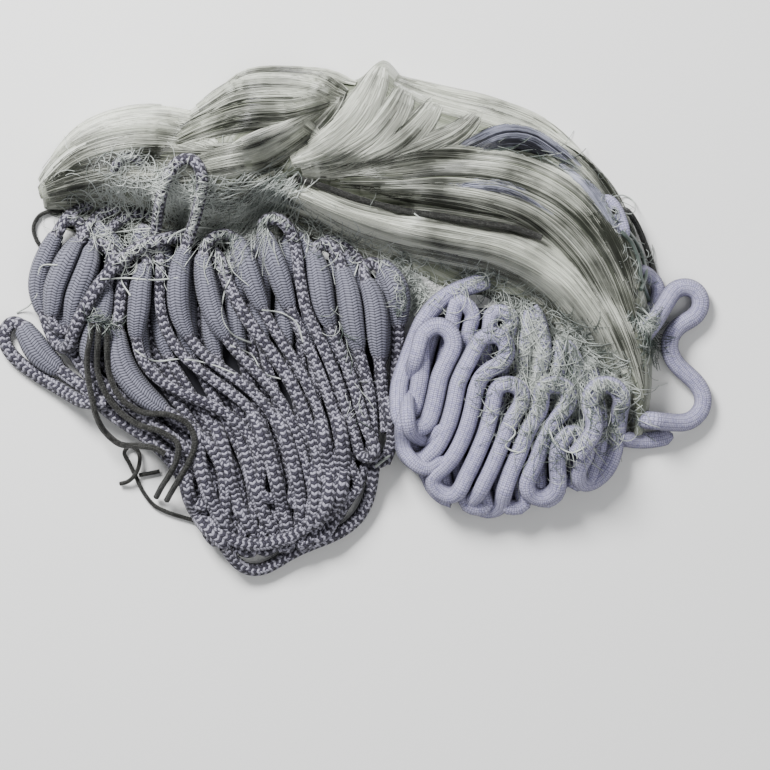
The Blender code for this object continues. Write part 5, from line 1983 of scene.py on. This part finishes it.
@dataclass
class Studio:
    """Pale floor, soft light from above and a camera that looks straight down."""

    camera_height: float = 1.6
    sharp_height: float = 0.02
    sensor: float = 36.0
    floor_size: float = 6.0
    floor_drop: float = 0.0002
    sky: Dye = Dye(0.95, 0.97, 1.0)
    sky_strength: float = 0.30

    def camera(self) -> None:
        """Places the camera over the picture's middle."""
        data = bpy.data.cameras.new("camera")
        data.sensor_width = self.sensor
        shown = PICTURE_SIZE * PICTURE_SCALE * MM
        data.lens = self.sensor * (self.camera_height - self.sharp_height) / shown
        camera = put_in_scene("camera", data)
        middle = on_plan([(0.5 * PICTURE_SIZE, 0.5 * PICTURE_SIZE)])[0]
        camera.location = ((middle[0] - PLAN_CENTRE[0]) * MM, (middle[1] - PLAN_CENTRE[1]) * MM,
                           self.camera_height)
        bpy.context.scene.camera = camera

    def light(self, name: str, place: tuple[float, float, float], size: float,
              power: float) -> None:
        """One square soft light that faces the net.

        Args:
            name: the light's name.
            place: where it hangs.
            size: its side.
            power: its power in watts.
        """
        data = bpy.data.lights.new(name, "AREA")
        data.shape = "SQUARE"
        data.size = size
        data.energy = power
        lamp = put_in_scene(name, data)
        lamp.location = place
        reach = math.hypot(place[0], place[1])
        lamp.rotation_euler = (math.atan2(reach, place[2]), 0.0,
                               math.atan2(place[0], -place[1]) if reach > 0.0 else 0.0)

    def build(self, floor_finish: bpy.types.Material) -> None:
        """Makes the floor, the lights and the plain surroundings.

        Args:
            floor_finish: the floor's material.
        """
        half = 0.5 * self.floor_size
        corners = np.array([(-half, -half, 0.0), (half, -half, 0.0), (half, half, 0.0),
                            (-half, half, 0.0)])
        floor = link_mesh("floor", corners - (0.0, 0.0, self.floor_drop), [[0, 1, 2, 3]],
                          floor_finish, turn_out=False)
        self.light("key", (-0.55, 0.85, 1.0), 0.5, 46.0)
        self.light("fill", (0.7, -0.5, 1.3), 1.2, 7.0)
        world = bpy.data.worlds.new("surroundings")
        world.use_nodes = True
        back = world.node_tree.nodes["Background"]
        back.inputs["Color"].default_value = (*self.sky, 1.0)
        back.inputs["Strength"].default_value = self.sky_strength
        bpy.context.scene.world = world


LEAD_FINISH = KnitFinish("lead_line_cover", Dye(0.62, 0.61, 0.67), Dye(0.22, 0.21, 0.26),
                         Dye(0.49, 0.49, 0.55), columns=6, dark_share=0.48, slant=0.6,
                         contrast=0.6, depth=0.0005, regular=0.6, side_shade=0.7)
FLOAT_FINISH = KnitFinish("float_line_cover", Dye(0.71, 0.70, 0.82), Dye(0.64, 0.63, 0.77),
                          Dye(0.71, 0.70, 0.82), columns=13, dark_share=0.3, slant=0.35,
                          contrast=0.5, depth=0.0003, side_shade=0.65)
TIE_FINISH = KnitFinish("tie_cover", Dye(0.21, 0.21, 0.20), Dye(0.11, 0.11, 0.10),
                        Dye(0.21, 0.21, 0.20), columns=6, dark_share=0.4, slant=0.5,
                        contrast=0.5, depth=0.0003, roughness=0.6)
WEBBING_FINISH = WebbingFinish("webbing_meshes", Dye(0.84, 0.85, 0.81), Dye(0.47, 0.49, 0.42),
                               Dye(0.12, 0.13, 0.10))
SEEN_FINISH = WebbingFinish("rope_seen_through", Dye(0.60, 0.60, 0.68), Dye(0.36, 0.36, 0.42),
                            Dye(0.10, 0.10, 0.13))
SEEN_STRANDS = StrandFinish("strands_over_rope", Dye(0.66, 0.67, 0.74), Dye(0.13, 0.13, 0.16))
STRAND_FINISH = StrandFinish("webbing_strands", Dye(0.85, 0.86, 0.81), Dye(0.17, 0.18, 0.15))
WISP_FINISH = StrandFinish("webbing_wisps", Dye(0.80, 0.82, 0.80), Dye(0.30, 0.34, 0.32))
# Painted shade: the hank cores are much darker than their ropes, standing for the lower turns in shadow.
CORE_FINISH = PlainFinish("hank_core", Dye(0.12, 0.12, 0.16), mottle=0.5, scale=300.0)
FLOAT_CORE_FINISH = PlainFinish("float_hank_core", Dye(0.22, 0.22, 0.29), mottle=0.5, scale=300.0)
FLOOR_FINISH = PlainFinish("floor", Dye(0.98, 0.98, 0.975), mottle=0.02, scale=3.0)


def lead_covers(step: float, sides: int, wide: float, high: float) -> RopeCover:
    """The lead line's cover, divided and pressed as given."""
    return RopeCover(LEAD_FINISH, step, sides, 1.55, 1.35, "lead_rope", wide, high)


def float_covers(step: float, sides: int, wide: float, high: float) -> RopeCover:
    """The float line's cover, divided and pressed as given."""
    return RopeCover(FLOAT_FINISH, step, sides, 1.05, 1.05, "float_rope", wide, high)


def main() -> None:
    """Builds every piece in order and reports it."""
    logging.basicConfig(level=logging.INFO, format="%(name)s %(message)s")
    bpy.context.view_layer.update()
    studio = Studio()
    studio.camera()
    tops = HeightMap(1.0)
    tie_cover = RopeCover(TIE_FINISH, step=0.8, sides=12, stitch=1.3, lead_stitch=1.3,
                          slot="tie_cord")
    TieCords(tie_cover).build(TIE_FINISH.make(), tops)
    mounds = HeightMap(MAP_CELL)
    mounds.add_surface(webbing_surface(WEBBING_SECTIONS, WEBBING_COLUMNS))
    for lanes, height, ridges in ((LEAD_HANK, LEAD_HANK_HEIGHT, LEAD_HANK_RIDGES),
                                  (FLOAT_HANK, FLOAT_HANK_HEIGHT, FLOAT_HANK_RIDGES)):
        mounds.add_surface(hank_surface(lanes, height, ridges, ridges * POINTS_PER_RIDGE + 1,
                                        HANK_ROWS))
    lead_ground = mounds.widened(LEAD_DIAMETER / 2 + MAP_MARGIN)
    float_ground = mounds.widened(FLOAT_ROPE_DIAMETER / 2 + MAP_MARGIN)
    lead_cover = lead_covers(1.3, 20, 1.17, 0.97)
    float_cover = float_covers(1.3, 28, 1.10, 0.97)
    routes = (
        ("lead_line", LEAD_LINE, LEAD_ROPE_DIAMETER, lead_cover, lead_ground),
        ("lead_line_right", LEAD_LINE_RIGHT, LEAD_ROPE_DIAMETER, lead_cover, lead_ground),
        ("float_line", FLOAT_LINE, FLOAT_ROPE_DIAMETER, float_cover, float_ground),
        ("float_line_end", FLOAT_LINE_END, FLOAT_ROPE_DIAMETER, float_cover, float_ground),
    )
    tails = {"float_line": (6.0, 0.0, 4.0), "float_line_end": (12.0, 9.0, 14.0)}
    settled = settle([lay_route(route, thick) for _, route, thick, _, _ in routes],
                     [ground for *_, ground in routes])
    covers = {"lead_rope": LEAD_FINISH.make(), "float_rope": FLOAT_FINISH.make()}
    for (name, _, thick, cover, _), rope in zip(routes, settled):
        rope = with_tails(rope, *tails.get(name, (0.0, 0.0, 0.0)))
        tops.add_rope(rope.line, rope.radius)
        piece = cover.build(f"{name}_rope", rope, 0.5 * thick, covers[cover.slot])
        dress_piece(piece, cover.slot, name)
    lead_hank = WoundRope("lead_hank", "lead_line_hank", LEAD_HANK, turns=14,
                          heights=((6.4, 9.2), (3.4, 3.4)), rope_radius=0.5 * LEAD_ROPE_DIAMETER,
                          lead_span=(0.03, 0.30), core_height=5.0,
                          cover=lead_covers(2.4, 14, 1.2, 0.95), seed=3)
    lead_hank.build(covers["lead_rope"], CORE_FINISH.make(), tops)
    float_hank = WoundRope("float_hank", "float_line_hank", FLOAT_HANK, turns=10,
                           heights=((12.4, 12.4), (4.5, 4.5)),
                           rope_radius=0.5 * FLOAT_ROPE_DIAMETER, lead_span=(2.0, 3.0),
                           core_height=8.0, cover=float_covers(2.6, 18, 1.1, 0.97), seed=8)
    float_hank.build(covers["float_rope"], FLOAT_CORE_FINISH.make(), tops)
    webbing = Webbing()
    webbing.build(((LOCKS, WEBBING_FINISH.make(), STRAND_FINISH.make()),
                   (SEEN_LOCKS, SEEN_FINISH.make(), SEEN_STRANDS.make())))
    tops.heights = np.maximum(tops.heights, webbing.ground.heights)
    shown_runs = ShownRuns(lead_covers(1.5, 20, 1.05, 0.88), float_covers(1.5, 24, 1.0, 0.85))
    shown_runs.build(covers["lead_rope"], covers["float_rope"], tops)
    LooseYarns(tops.softened(1)).build(WISP_FINISH.make())
    studio.build(FLOOR_FINISH.make())


if __name__ == "__main__":
    main()
